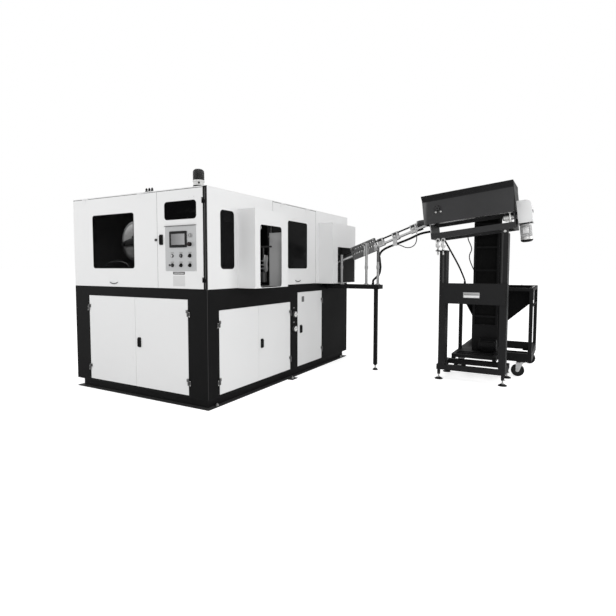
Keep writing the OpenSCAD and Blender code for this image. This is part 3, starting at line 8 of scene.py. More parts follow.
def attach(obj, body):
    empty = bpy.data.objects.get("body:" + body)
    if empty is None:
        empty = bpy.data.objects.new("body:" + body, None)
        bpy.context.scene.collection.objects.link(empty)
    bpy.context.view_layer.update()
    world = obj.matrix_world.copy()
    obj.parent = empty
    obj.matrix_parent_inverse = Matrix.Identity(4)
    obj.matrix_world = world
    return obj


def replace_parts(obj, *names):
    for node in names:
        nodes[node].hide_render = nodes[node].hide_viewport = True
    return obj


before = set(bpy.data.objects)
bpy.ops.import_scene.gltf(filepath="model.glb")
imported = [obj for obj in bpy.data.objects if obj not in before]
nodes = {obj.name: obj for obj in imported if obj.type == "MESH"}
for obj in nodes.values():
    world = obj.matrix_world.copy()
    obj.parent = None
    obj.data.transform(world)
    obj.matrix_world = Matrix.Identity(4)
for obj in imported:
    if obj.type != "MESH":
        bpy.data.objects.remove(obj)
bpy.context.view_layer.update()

scene = bpy.context.scene
scene.view_settings.view_transform = "Standard"


# Studio
# A plain white floor under a white sky, lit by a large soft key from the front
# right, one light from each side and a weak one from above.
def wire(tree, kind, inputs=(), **options):
    """Adds a shader node; an input is a value or the socket that feeds it."""
    node = tree.nodes.new("ShaderNode" + kind)
    for option, value in options.items():
        setattr(node, option, value)
    for socket, value in dict(inputs).items():
        if isinstance(value, bpy.types.NodeSocket):
            tree.links.new(value, node.inputs[socket])
        else:
            node.inputs[socket].default_value = value
    return node


def seen_directly(tree):
    """1 for rays from the camera, also through a pane, and 0 for light that bounces."""
    path = wire(tree, "LightPath")
    return wire(tree, "Math", {0: path.outputs["Is Camera Ray"], 1: path.outputs["Is Transmission Ray"]},
                operation="MAXIMUM").outputs[0]


def blank_material(name):
    material = bpy.data.materials.new(name)
    material.use_nodes = True
    return material, material.node_tree, material.node_tree.nodes["Principled BSDF"]


sky = bpy.data.worlds.new("studio sky")
sky.use_nodes = True
sky_tree = sky.node_tree
sky_shown = wire(sky_tree, "MapRange", {"Value": seen_directly(sky_tree), "To Min": 0.65, "To Max": 1.0})
sky_light = sky_tree.nodes["Background"]
sky_light.inputs["Color"].default_value = (1, 1, 1, 1)
sky_tree.links.new(sky_shown.outputs[0], sky_light.inputs["Strength"])
scene.world = sky

floor_shape = bmesh.new()
bmesh.ops.create_grid(floor_shape, x_segments=2, y_segments=2, size=300)
floor_mesh = bpy.data.meshes.new("floor")
floor_shape.to_mesh(floor_mesh)
floor_shape.free()
floor = bpy.data.objects.new("floor", floor_mesh)
scene.collection.objects.link(floor)
floor_paint, floor_tree, floor_shader = blank_material("white studio floor")
floor_shader.inputs["Base Color"].default_value = (0.8, 0.8, 0.8, 1)
floor_shader.inputs["Roughness"].default_value = 0.9
floor_shader.inputs["Specular IOR Level"].default_value = 0.0
floor_glow = wire(floor_tree, "Math", {0: seen_directly(floor_tree), 1: 0.62}, operation="MULTIPLY")
floor_shader.inputs["Emission Color"].default_value = (1, 1, 1, 1)
floor_tree.links.new(floor_glow.outputs[0], floor_shader.inputs["Emission Strength"])
floor_mesh.materials.append(floor_paint)


def soft_lamp(name, place, aim, size, watts):
    lamp = bpy.data.lights.new(name, "AREA")
    lamp.shape = "SQUARE"
    lamp.size = size
    lamp.energy = watts
    holder = bpy.data.objects.new(name, lamp)
    holder.location = place
    holder.rotation_euler = (Vector(aim) - Vector(place)).to_track_quat("-Z", "Y").to_euler()
    scene.collection.objects.link(holder)


soft_lamp("key light", (6.2, -6.7, 3.4), (0.6, 0, 1.0), 4.5, 182)
soft_lamp("side light", (7.2, 2.0, 2.8), (0.95, 1.4, 0.9), 4.0, 142)
soft_lamp("fill light", (-5.5, -6.0, 3.0), (0.2, 0, 1.0), 4.5, 150)
soft_lamp("top light", (0.5, 0.4, 6.5), (0.5, 0, 0), 5.0, 110)


# Camera
# The photograph's own viewing point, solved from the box corners of the
# machine, the feet of the stand and the ends of the rail.
camera_data = bpy.data.cameras.new("camera")
camera_data.sensor_width = 36
camera_data.lens = 26.858
camera_data.shift_x = 0.0039
camera_data.shift_y = -0.0196
camera_data.clip_end = 900
camera = bpy.data.objects.new("camera", camera_data)
camera.location = (3.7598, -4.7091, 1.3110)
camera.rotation_euler = (math.radians(90 - 3.46), math.radians(-0.07), math.radians(29.38))
scene.collection.objects.link(camera)
scene.camera = camera


# Cables
# Four free lines of black rubber, held only at their two ends: the conduit from
# the shelf's gland to the tilting frame, the thin lead of the rail sensor, and
# the leads from the tilting frame to the cross box and to the elevator.
FRONT_RIGHT_CORNER = (0.95, -1.53, 0)
machine_mm = Matrix.Translation(FRONT_RIGHT_CORNER) @ Matrix.Scale(0.001, 4)


def object_noise(tree, detail):
    place = wire(tree, "TexCoord")
    return wire(tree, "TexNoise", {"Vector": place.outputs["Object"], "Scale": 1.0, "Detail": detail})


def build_coating_group():
    """A colour with broad shades, a roughness with specks and a fine bump."""
    group = bpy.data.node_groups.new("coating grain", "ShaderNodeTree")
    for label, kind, value in (
        ("Colour", "NodeSocketColor", (0.5, 0.5, 0.5, 1)), ("Roughness", "NodeSocketFloat", 0.5),
        ("Shade Spread", "NodeSocketFloat", 0.04), ("Patch Size", "NodeSocketFloat", 1.5),
        ("Grain Size", "NodeSocketFloat", 600.0), ("Grain Depth", "NodeSocketFloat", 0.1),
    ):
        socket = group.interface.new_socket(label, in_out="INPUT", socket_type=kind)
        socket.default_value = value
    for label, kind in (("Colour", "NodeSocketColor"), ("Roughness", "NodeSocketFloat"),
                        ("Normal", "NodeSocketVector")):
        group.interface.new_socket(label, in_out="OUTPUT", socket_type=kind)
    given, put = group.nodes.new("NodeGroupInput"), group.nodes.new("NodeGroupOutput")
    broad, fine = object_noise(group, 4.0), object_noise(group, 2.0)
    group.links.new(given.outputs["Patch Size"], broad.inputs["Scale"])
    group.links.new(given.outputs["Grain Size"], fine.inputs["Scale"])
    centred = wire(group, "Math", {0: broad.outputs["Fac"], 1: 0.5}, operation="SUBTRACT")
    shade = wire(group, "Math", {0: centred.outputs[0], 1: given.outputs["Shade Spread"], 2: 1.0},
                 operation="MULTIPLY_ADD")
    tinted = wire(group, "VectorMath", {0: given.outputs["Colour"], "Scale": shade.outputs[0]},
                  operation="SCALE")
    speck = wire(group, "Math", {0: fine.outputs["Fac"], 1: 0.5}, operation="SUBTRACT")
    both = wire(group, "Math", {0: speck.outputs[0], 1: 0.12, 2: given.outputs["Roughness"]},
                operation="MULTIPLY_ADD")
    rough = wire(group, "Math", {0: centred.outputs[0], 1: 0.25, 2: both.outputs[0]},
                 operation="MULTIPLY_ADD")
    bump = wire(group, "Bump", {"Strength": given.outputs["Grain Depth"], "Distance": 0.0006,
                                "Height": fine.outputs["Fac"]})
    group.links.new(tinted.outputs[0], put.inputs["Colour"])
    group.links.new(rough.outputs[0], put.inputs["Roughness"])
    group.links.new(bump.outputs[0], put.inputs["Normal"])
    return group


def build_box_mask_group():
    """1 inside the box between two corners and 0 outside it."""
    group = bpy.data.node_groups.new("inside a box", "ShaderNodeTree")
    for label in ("Low Corner", "High Corner"):
        group.interface.new_socket(label, in_out="INPUT", socket_type="NodeSocketVector")
    group.interface.new_socket("Mask", in_out="OUTPUT", socket_type="NodeSocketFloat")
    given, put = group.nodes.new("NodeGroupInput"), group.nodes.new("NodeGroupOutput")
    place = wire(group, "TexCoord").outputs["Object"]
    under = wire(group, "VectorMath", {0: given.outputs[0], 1: place}, operation="SUBTRACT")
    over = wire(group, "VectorMath", {0: place, 1: given.outputs[1]}, operation="SUBTRACT")
    worst = wire(group, "VectorMath", {0: under.outputs[0], 1: over.outputs[0]}, operation="MAXIMUM")
    parts = wire(group, "SeparateXYZ", {0: worst.outputs[0]})
    first = wire(group, "Math", {0: parts.outputs[0], 1: parts.outputs[1]}, operation="MAXIMUM")
    last = wire(group, "Math", {0: first.outputs[0], 1: parts.outputs[2]}, operation="MAXIMUM")
    inside = wire(group, "Math", {0: last.outputs[0], 1: 0.0}, operation="LESS_THAN")
    group.links.new(inside.outputs[0], put.inputs["Mask"])
    return group


coating_grain = build_coating_group()
inside_a_box = build_box_mask_group()


def grey(shade):
    return (shade, shade, shade)


def constant(tree, value):
    source = wire(tree, "Value").outputs[0]
    source.default_value = value
    return source


def grain_node(tree, colour, roughness, spread, patch, grain, depth):
    node = tree.nodes.new("ShaderNodeGroup")
    node.node_tree = coating_grain
    for label, value in (("Colour", (*colour, 1)), ("Roughness", roughness), ("Shade Spread", spread),
                         ("Patch Size", patch), ("Grain Size", grain), ("Grain Depth", depth)):
        node.inputs[label].default_value = value
    return node


def box_mask(tree, boxes):
    """1 inside any of the boxes, each of them two corners in millimetres."""
    mask = None
    for low, high in boxes:
        box = tree.nodes.new("ShaderNodeGroup")
        box.node_tree = inside_a_box
        box.inputs[0].default_value = machine_mm @ Vector(low)
        box.inputs[1].default_value = machine_mm @ Vector(high)
        mask = box.outputs[0] if mask is None else wire(
            tree, "Math", {0: mask, 1: box.outputs[0]}, operation="MAXIMUM").outputs[0]
    return mask


def surface(name, colour, roughness, metallic=0.0, specular=0.5, spread=0.04, patch=1.5,
            grain=600.0, depth=0.1, alpha=1.0, patches=()):
    """A finish with its grain. Each patch is (boxes in mm, colour, roughness, metallic)."""
    material, tree, shader = blank_material(name)
    look = grain_node(tree, colour, roughness, spread, patch, grain, depth)
    tint, rough = look.outputs["Colour"], look.outputs["Roughness"]
    metal = constant(tree, metallic) if patches else None
    for boxes, patch_colour, patch_roughness, patch_metallic in patches:
        mask = box_mask(tree, boxes)
        other = grain_node(tree, patch_colour, patch_roughness, spread, patch, grain, depth)
        tint = wire(tree, "MixRGB", {0: mask, 1: tint, 2: other.outputs["Colour"]}).outputs[0]
        rough = wire(tree, "MixRGB", {0: mask, 1: rough, 2: other.outputs["Roughness"]}).outputs[0]
        metal = wire(tree, "MixRGB", {0: mask, 1: metal, 2: (*grey(patch_metallic), 1)}).outputs[0]
    tree.links.new(tint, shader.inputs["Base Color"])
    tree.links.new(rough, shader.inputs["Roughness"])
    tree.links.new(look.outputs["Normal"], shader.inputs["Normal"])
    if metal is None:
        shader.inputs["Metallic"].default_value = metallic
    else:
        tree.links.new(metal, shader.inputs["Metallic"])
    shader.inputs["Specular IOR Level"].default_value = specular
    shader.inputs["Alpha"].default_value = alpha
    return material


black_rubber = surface("black cable rubber", grey(0.004), 0.6, specular=0.12, grain=900)


def run_cable(name, body, route, radius):
    """A cable through listed points, with all sizes in millimetres."""
    line = bpy.data.curves.new(name, "CURVE")
    line.dimensions = "3D"
    line.bevel_depth = radius / 1000
    line.bevel_resolution = 3
    line.resolution_u = 4
    line.use_fill_caps = True
    spline = line.splines.new("BEZIER")
    spline.bezier_points.add(len(route) - 1)
    points = [machine_mm @ Vector(p) for p in route]
    for knot, point in zip(spline.bezier_points, points):
        knot.co = point
        knot.handle_left_type = knot.handle_right_type = "AUTO"
    line.materials.append(black_rubber)
    cable = bpy.data.objects.new(name + "_line", line)
    scene.collection.objects.link(cable)
    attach(cable, body)
    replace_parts(cable, name)


rail_route = [
    (630, 2490, 1126), (632, 2490, 1150), (658, 2490, 1178), (695, 2490, 1212), (718, 2490, 1262),
    (725, 2490, 1330), (717, 2490, 1395), (711, 2490, 1450), (728, 2490, 1508), (775, 2490, 1552),
    (840, 2490, 1583), (915, 2490, 1610), (990, 2490, 1636), (1065, 2490, 1662), (1140, 2490, 1692),
    (1210, 2490, 1724), (1268, 2490, 1742), (1328, 2490, 1752.5), (1390, 2490, 1759.6)]
run_cable("rail_cable", "machine", rail_route, 14)
run_cable("sensor_cable", "machine", [
    (1216, 2422, 1719), (1217, 2422, 1700), (1218, 2422, 1680), (1217, 2422, 1660), (1213, 2422, 1640),
    (1206, 2422, 1620), (1195, 2422, 1602), (1180, 2422, 1587), (1162, 2422, 1576), (1142, 2422, 1569),
    (1118, 2422, 1566), (1094, 2422, 1567), (1070, 2422, 1573), (1048, 2422, 1582), (1026, 2422, 1592),
    (1006, 2422, 1600), (990, 2422, 1604), (976, 2422, 1605.5)], 5.5)
run_cable("feeder_cable", "machine", [
    (1567, 2330, 1666), (1569, 2330, 1650), (1583, 2330, 1624), (1602, 2330, 1592), (1622, 2330, 1556),
    (1642, 2330, 1520), (1662, 2330, 1484), (1682, 2330, 1448), (1702, 2330, 1412), (1721, 2330, 1376),
    (1740, 2330, 1340), (1757, 2330, 1304), (1773, 2330, 1268), (1788, 2330, 1232), (1801, 2330, 1200),
    (1810, 2330, 1176), (1812, 2330, 1166)], 9.5)
run_cable("elevator_cable", "machine", [
    (1768, 2712, 1689), (1770, 2712, 1672), (1776, 2713, 1652), (1785, 2714, 1630), (1795, 2715, 1608),
    (1804, 2716, 1585), (1811, 2718, 1562), (1812, 2720, 1540), (1806, 2722, 1518), (1796, 2724, 1496),
    (1789, 2726, 1472), (1787, 2728, 1448), (1790, 2731, 1424), (1796, 2734, 1400), (1804, 2738, 1376),
    (1813, 2742, 1352), (1822, 2747, 1329), (1831, 2753, 1308), (1838, 2759, 1292), (1842, 2766, 1284),
    (1843, 2776, 1281)], 6)


# Plinth
# Welded ring of rolled channel in black powder coat. It stands on the floor,
# held by zinc bolts through its lower flange and through the two side lugs.
def coat_node(material, *names):
    for name in names:
        for material_slot in nodes[name].material_slots:
            material_slot.material = material


def sort_by_place(elements, place):
    """Blender's own order of new corners and faces differs from run to run."""
    for index, element in enumerate(sorted(elements, key=place)):
        element.index = index
    elements.sort()


def settle(shape, name, material, body, place=machine_mm, sharp=35):
    """Turns a shape drawn in millimetres into a piece in its place, riding on a body."""
    bmesh.ops.transform(shape, matrix=place, verts=shape.verts)
    bmesh.ops.recalc_face_normals(shape, faces=shape.faces)
    sort_by_place(shape.verts, lambda v: v.co[:])
    sort_by_place(shape.faces, lambda f: f.calc_center_median()[:])
    mesh = bpy.data.meshes.new(name)
    shape.to_mesh(mesh)
    shape.free()
    mesh.materials.append(material)
    mesh.polygons.foreach_set("use_smooth", [True] * len(mesh.polygons))
    mesh.set_sharp_from_angle(angle=math.radians(sharp))
    piece = bpy.data.objects.new(name, mesh)
    scene.collection.objects.link(piece)
    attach(piece, body)
    return piece


def turn_about(axis, degrees, middle=(0, 0, 0)):
    return Matrix.Translation(middle) @ Matrix.Rotation(math.radians(degrees), 4, axis)


POINTING = {"+z": Matrix.Identity(4), "-z": turn_about("X", 180), "+y": turn_about("X", -90),
            "-y": turn_about("X", 90), "+x": turn_about("Y", 90), "-x": turn_about("Y", -90)}


def fresh(shape, old):
    """The corners that a shape has gained since old was noted, in their own order."""
    return [v for v in shape.verts if v not in old]


def turned(shape, profile, place, pointing="+z", steps=32):
    """Lathe work: a profile of (radius, height) spun about an axis through place."""
    old = set(shape.verts)
    line = [shape.verts.new((radius, 0, height)) for radius, height in profile]
    edges = [shape.edges.new(pair) for pair in zip(line, line[1:])]
    bmesh.ops.spin(shape, geom=line + edges, cent=(0, 0, 0), axis=(0, 0, 1), angle=2 * math.pi,
                   steps=steps, use_merge=True, use_duplicate=False)
    spun = fresh(shape, old)
    bmesh.ops.transform(shape, matrix=Matrix.Translation(place) @ POINTING[pointing], verts=spun)
    bmesh.ops.remove_doubles(shape, verts=spun, dist=0.001)


def rod(shape, start, length, radius, pointing="+z", chamfer=0.8, steps=32):
    turned(shape, [(0, 0), (radius - chamfer, 0), (radius, chamfer), (radius, length - chamfer),
                   (radius - chamfer, length), (0, length)], start, pointing, steps)


def break_edges(shape, edges, width, segments=2, affect="EDGES"):
    """Rounds edges, or the corners of a face, by a width in millimetres."""
    bmesh.ops.bevel(shape, geom=list(edges), offset=width, offset_type="OFFSET", segments=segments,
                    profile=0.5, affect=affect, material=-1)


def drawn_at(shape, place, draw, *sizes):
    """Draws into a shape and moves only what was drawn."""
    old = set(shape.verts)
    draw(shape, *sizes)
    bmesh.ops.transform(shape, matrix=place, verts=fresh(shape, old))


def hex_head(shape, size):
    """The head of a bolt whose thread has this size, 3 mm up on its washer."""
    old = set(shape.verts)
    bmesh.ops.create_cone(shape, cap_ends=True, segments=6, radius1=size * 0.9, radius2=size * 0.9,
                          depth=size * 0.64)
    head = fresh(shape, old)
    around = dict.fromkeys(e for v in head for e in v.link_edges)
    rims = [e for e in around if abs(e.verts[0].co.z - e.verts[1].co.z) < 0.01]
    bmesh.ops.translate(shape, vec=(0, 0, 3 + size * 0.32), verts=head)
    break_edges(shape, rims, size * 0.05, 1)


def hex_bolt(shape, place, size, pointing="+z", stud=0.0):
    """Hexagon head on its washer, seat at place; size is the thread."""
    turned(shape, [(0, 0), (size * 0.98, 0), (size, 0.5), (size, 2.5), (size * 0.98, 3), (0, 3)],
           place, pointing, 24)
    drawn_at(shape, Matrix.Translation(place) @ POINTING[pointing], hex_head, size)
    if stud:
        along = POINTING[pointing] @ Vector((0, 0, 3 + size * 0.64))
        rod(shape, Vector(place) + along, stud, size * 0.5, pointing, 1.2, 16)


BLACK = (0.0052, 0.0052, 0.0056)


def black_paint(name, colour=BLACK, roughness=0.55, specular=0.16, spread=0.25, patch=2.0, depth=0.12,
                patches=()):
    return surface(name, colour, roughness, specular=specular, spread=spread, patch=patch, grain=520,
                   depth=depth, patches=patches)


zinc = surface("zinc plated bolts", (0.62, 0.62, 0.61), 0.32, metallic=1.0, spread=0.12, patch=40)
black_coat = black_paint("black powder coat")
# The thin lighter band along the top face of the lower flange is a painted highlight.
plinth_coat = black_paint("plinth black coat", (0.0045, 0.0045, 0.0048), specular=0.12, patches=[
    ([((-1960, -80, 7.4), (70, 3100, 8.6))], grey(0.05), 0.5, 0.0)])
coat_node(plinth_coat, "plinth")
anchors = bmesh.new()
for x, y in ((-25, 150), (-1875, 150), (-25, 2910), (-1875, 2910), (35, 1440), (-1935, 1440)):
    hex_bolt(anchors, (x, y, 8), 16, stud=9)
settle(anchors, "anchor_bolts", zinc, "machine")


# Base frame
# Welded tube and sheet base with the top rail and bed plate, the corner post
# with a painted highlight line down it, and the frame halves of the door hinges.
base_coat = black_paint("base black coat", (0.0048, 0.0048, 0.0050), 0.58, 0.08, patches=[
    # Painted highlight: the light grey line down the corner post.
    ([((-24, -3, 1119), (-16, 2.2, 2032))], grey(0.10), 0.45, 0.0),
    ([((-1800, -40, 200), (-100, -0.2, 960)), ((0.2, 100, 200), (16, 2400, 960))], grey(0.11), 0.4, 0.3),
    # Painted highlight: the light line down the base's corner edge.
    ([((-2, -3, 100), (0.5, 2, 1112))], grey(0.06), 0.5, 0.0),
    ([((-1860, 60, 1116), (-40, 3020, 1136))], (0.02, 0.02, 0.021), 0.5, 0.0)])
coat_node(base_coat, "base_frame")


# Base doors
# Five folded sheet doors in white powder coat, each hung on two dark pin
# hinges that are screwed on with light countersunk screws.
def side_mm(y):
    """The right side seen from outside: x runs to the rear from y, z up, -y out of the sheet."""
    return machine_mm @ Matrix.Translation((0, y, 0)) @ Matrix.Rotation(math.pi / 2, 4, "Z")


right_side = side_mm(0)


def white_paint(name, spread=0.03, patches=()):
    return surface(name, (0.735, 0.737, 0.738), 0.42, specular=0.35, spread=spread, grain=480,
                   depth=0.06, patches=patches)


front_hinges = [((-1760, -40, 0), (-100, -0.2, 1100))]
side_hinges = [((0.2, 100, 0), (40, 2400, 1100))]
front_white = white_paint("front door white coat", patches=[(front_hinges, grey(0.11), 0.4, 0.3)])
side_white = white_paint("side door white coat", patches=[(side_hinges, grey(0.11), 0.4, 0.3)])
coat_node(front_white, "base_door_front_left", "base_door_front_right")
coat_node(side_white, "base_door_side_front", "base_door_side_rear", "base_door_rear")
screw_steel = surface("light screw steel", (0.66, 0.66, 0.65), 0.35, metallic=0.85, spread=0.1, patch=60)


def hinge_screws(name, body, place, x, side, heights):
    """Two screws a leaf; side is +1 or -1, the way the leaf runs from the pin."""
    screws = bmesh.new()
    for middle in heights:
        for step in (-20, 20):
            turned(screws, [(0, 0), (5.4, 0), (5.4, 0.7), (2.43, 1.3), (0.6, 1.3), (0.6, 0.5), (0, 0.5)],
                   (x + side * 17, -3, middle + step), "-y", 12)
    settle(screws, name, screw_steel, body, place)


for name, body, place, x, side, low, high in (
    ("screws_front_left", "base_door_front_left", machine_mm, -1667, 1, 239, 889),
    ("screws_front_right", "base_door_front_right", machine_mm, -238, -1, 239, 889),
    ("screws_side_front", "base_door_side_front", right_side, 159, 1, 239, 785),
    ("screws_side_rear", "base_door_side_rear", right_side, 1443, -1, 239, 785),
    ("screws_base_rear", "base_door_rear", right_side, 2251, -1, 239, 889),
):
    hinge_screws(name, body, place, x, side, (low + 12, high + 12))
    hinge_screws(name + "_frame", "machine", place, x, -side, (low - 12, high - 12))


# Rotary latches
# Four quarter-turn latches of glass filled nylon: escutcheon, winged handle
# with a lock barrel, and a tongue behind the sheet that the shaft turns. The
# bare label of the rear base door is made with them.
def block(shape, low, high, rounding=1.0, segments=2):
    """A block between two corners, in millimetres, with its edges broken."""
    low, high = Vector(low), Vector(high)
    made = bmesh.ops.create_cube(shape, size=1)["verts"]
    bmesh.ops.scale(shape, vec=high - low, verts=made)
    bmesh.ops.translate(shape, vec=(low + high) / 2, verts=made)
    edges = dict.fromkeys(edge for corner in made for edge in corner.link_edges)
    break_edges(shape, edges, rounding, segments)


def rounded_face(shape, x, z, width, height, corner, y, steps=6):
    """A flat face with round corners, parallel to the front."""
    old = set(shape.verts)
    corners = [shape.verts.new((x + right * width, y, z + up * height))
               for right, up in ((0, 0), (1, 0), (1, 1), (0, 1))]
    shape.faces.new(corners)
    break_edges(shape, corners, corner, steps, "VERTICES")
    return next(f for f in shape.faces if not any(v in old for v in f.verts))


def pulled(shape, faces, way):
    """Extrudes faces along a vector and returns what was made."""
    grown = bmesh.ops.extrude_face_region(shape, geom=list(faces))["geom"]
    bmesh.ops.translate(shape, vec=way, verts=[g for g in grown if isinstance(g, bmesh.types.BMVert)])
    return grown


def rounded_plate(shape, x, z, width, height, corner, y_front, y_back, rounding=0.6):
    """A flat plate in the front plane with round corners and broken edges."""
    face = rounded_face(shape, x, z, width, height, corner, y_back)
    grown = pulled(shape, [face], (0, y_front - y_back, 0))
    if rounding:
        rim = [g for g in grown if isinstance(g, bmesh.types.BMFace)]
        break_edges(shape, [e for f in rim for e in f.edges], rounding)


latch_nylon = surface("black latch nylon", (0.006, 0.006, 0.0062), 0.55, specular=0.15, spread=0.1,
                      grain=1400)
barrel_steel = surface("dark lock barrel", grey(0.06), 0.4, metallic=0.6, spread=0.1, patch=60)
mark_grey = surface("bare door label", grey(0.13), 0.5, specular=0.2, spread=0.1, patch=30)


def rotary_latch(node, place, x, z, depth, reach):
    """depth is the sheet and gap that the shaft passes, reach the tongue's length."""
    at = place @ Matrix.Translation((x, 0, z))
    handle = bmesh.new()
    rounded_plate(handle, -23, -50, 46, 100, 9, -5, -0.3, 1.2)
    rounded_plate(handle, -18, -44, 36, 88, 12, -15.5, -4.5, 2.4)
    rounded_plate(handle, -5.5, -42, 11, 84, 5, -24, -15, 2.2)
    rod(handle, (0, -1, 0), depth + 6, 8, "+y")
    block(handle, (-8, depth + 1, -reach), (8, depth + 6, 6), 1)
    piece = settle(handle, node + "_handle", latch_nylon, node, at)
    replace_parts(piece, node)
    barrel = bmesh.new()
    turned(barrel, [(0, 0), (6.5, 0), (6.5, 2.2), (5.6, 3), (1.4, 3), (1.4, 1.6), (0, 1.6)],
           (0, -15.4, 33), "-y", 20)
    settle(barrel, node + "_barrel", barrel_steel, node, at)


bare_mark = bmesh.new()
rounded_plate(bare_mark, 1714, 896, 60, 68, 3, -0.9, 0, 0.3)
settle(bare_mark, "rear_door_bare_label", mark_grey, "base_door_rear", right_side)
rotary_latch("latch_front", machine_mm, -896, 565, 20, 70)
rotary_latch("latch_side", right_side, 857.5, 505, 20, 70)
rotary_latch("latch_rear", right_side, 1691, 565, 40, 90)
rotary_latch("control_latch", machine_mm, -566.5, 1580, 25, 66)


# Pressure gauges
# Two panel gauges beside the rear base door: bright bezel, white dial with
# plain ticks, black needle. A dull bare label sits above each.
gauge_steel = surface("bright gauge bezel", grey(0.7), 0.25, metallic=0.9, spread=0.05, patch=60)
dial_white = surface("white gauge dial", (0.72, 0.72, 0.71), 0.5, specular=0.2, spread=0.02)
mark_black = surface("printed black marks", grey(0.01), 0.6, specular=0.1)
label_dull = surface("dull bare label", grey(0.16), 0.45, specular=0.3, spread=0.1, patch=60)
bezels, dials, marks, labels = bmesh.new(), bmesh.new(), bmesh.new(), bmesh.new()
for height in (587, 760):
    middle = (0, 0, height)
    turned(bezels, [(28, 25.5), (28.5, 28.5), (31, 29.6), (33.8, 28.8), (34.6, 26.5), (34.6, 23.5)],
           middle, "-y", 40)
    turned(dials, [(0, 26.6), (28.6, 26.6), (28.6, 26), (0, 26)], middle, "-y", 40)
    for angle in range(0, 271, 27):
        tick = (-0.5, -27.2, 21), (0.5, -26.5, 26 if angle % 54 == 0 else 24.5)
        drawn_at(marks, turn_about("Y", angle - 135, middle), block, *tick, 0.1, 1)
    drawn_at(marks, turn_about("Y", 48, middle), block, (-0.8, -29, -8), (0.8, -28.2, 21), 0.3, 1)
    turned(marks, [(0, 31), (3.4, 30.6), (4.4, 29.2), (4.4, 26.5), (0, 26.5)], middle, "-y", 16)
    rounded_plate(labels, -17, height + 70, 34, 14, 3, -1.2, 0, 0.3)
for shape, name, material, slot in (
    (bezels, "gauge_bezels", gauge_steel, "bright_steel"), (dials, "gauge_dials", dial_white, "panel_white"),
    (marks, "gauge_needles", mark_black, "latch_black"), (labels, "gauge_labels", label_dull, "plate_grey"),
):
    settle(shape, name, material, "machine", side_mm(1528))


# Cabinet and hoods
# White powder coated sheet on square posts, painted near black inside as painted
# shade so that the windows read black. The hoods are folded boxes on its right side.
def hex_nut(shape, place, bore, size, height):
    turned(shape, [(bore, 0), (size, 0), (size, height), (bore, height)], place, "+z", 6)


# Painted shade: the near black given to the inner faces of the sheets and to door edges in the gaps.
painted_inside_shade = (0.006, 0.006, 0.0065)
cabinet_white = white_paint("cabinet white coat", patches=[
    ([((-1898.8, 1.2, 1100), (-1.2, 3058.8, 2048.8))], painted_inside_shade, 0.7, 0.0),
    ([((-900, 85, 2050.2), (-775, 135, 2090)), ((-3, -1, 1116), (1, 10, 2049))],
     (0.008, 0.008, 0.0085), 0.5, 0.0),
    # Painted shade: the side sheet inside the infeed hood is dark grey.
    ([((-2, 2152, 1118), (2, 2872, 1888))], grey(0.03), 0.6, 0.0)])
coat_node(cabinet_white, "cabinet_shell")
roof_studs = bmesh.new()
for x in (-878, -838, -798):
    turned(roof_studs, [(0, 0), (7, 0), (7, 24), (6, 26), (0, 26)], (x, 110, 2083.6), "+z", 20)
    hex_nut(roof_studs, (x, 110, 2090), 7, 12, 10)
settle(roof_studs, "roof_bar_studs", black_coat, "machine")
# Inside the outlet hood the sheet is painted near black and inside the infeed hood dark grey, both painted
# shade; the partition in the outlet hood is pale grey.
hood_white = white_paint("hood white coat", patches=[
    ([((-80, 451.5, 1114.5), (208.6, 1026.4, 1886.6)), ((-80, 1029.6, 1114.5), (208.6, 1048.6, 1886.6))],
     painted_inside_shade, 0.7, 0.0),
    ([((-80, 2151.5, 1114.5), (208.6, 2873, 1891.6))], grey(0.075), 0.6, 0.0),
    ([((-80, 1026.4, 1114.5), (208.6, 1029.6, 1886.6))], grey(0.62), 0.5, 0.0)])
coat_node(hood_white, "outlet_hood", "infeed_hood")


# Lift doors
# The front and side doors hang from their top edges. Folded sheet, with a
# pressed half-moon grip at the foot; the front one has a black pull knob.
front_lift = white_paint("front lift door coat", patches=[
    # Painted shade: the door's inner faces and its edge in the gap beside the control door.
    ([((-1896, 1.2, 1119), (-622, 40, 2035)), ((-623, 0.3, 1119), (-621, 40, 2035))], painted_inside_shade, 0.7, 0.0),
    ([((-660, -45, 1560), (-610, -0.2, 1600))], grey(0.008), 0.35, 0.0),
    # Painted shadow: the dark grey box over the half-moon grip, for the shade in its hollow.
    ([((-1360, -12, 1140), (-1160, -0.2, 1175))], grey(0.05), 0.5, 0.0)])
side_lift = white_paint("side lift door coat", patches=[
    # Painted shade: the door's inner faces.
    ([((-40, 1079, 1119), (-1.2, 2071, 2035))], painted_inside_shade, 0.7, 0.0),
    # Painted shadow: the dark grey box over the half-moon grip, for the shade in its hollow.
    ([((0.2, 1520, 1140), (12, 1720, 1175))], grey(0.05), 0.5, 0.0)])
coat_node(front_lift, "front_door")
coat_node(side_lift, "side_door")


# Windows
# Smoked polycarbonate panes behind the sheets, each sealed by a black rubber
# profile that is pressed over the edge of its opening.
smoked = surface("smoked polycarbonate", (0.0012, 0.0012, 0.0013), 0.12, specular=0.01, spread=0.1,
                 depth=0.0, alpha=0.3)
# The side panes and the pane over the controls are the same smoked polycarbonate made darker and nearly
# opaque, as painted shade of the dark inside behind them.
shaded_side_panes = surface("smoked side panes with painted shade", (0.006, 0.006, 0.0062), 0.12, specular=0.04, spread=0.1,
                      depth=0.0, alpha=0.85)
shaded_control_pane = surface("smoked control pane with painted shade", (0.0038, 0.0038, 0.0040), 0.3, specular=0.0,
                       spread=0.1, depth=0.0, alpha=0.94)
coat_node(smoked, "front_window")
coat_node(shaded_control_pane, "control_window")
coat_node(shaded_side_panes, "side_window", "long_window")
seal_rubber = surface("window seal rubber", grey(0.003), 0.65, specular=0.08, spread=0.1, grain=1500)
SEAL_WIDTH, SEAL_BACK, SEAL_PROUD = 7, 3.0, 2.0


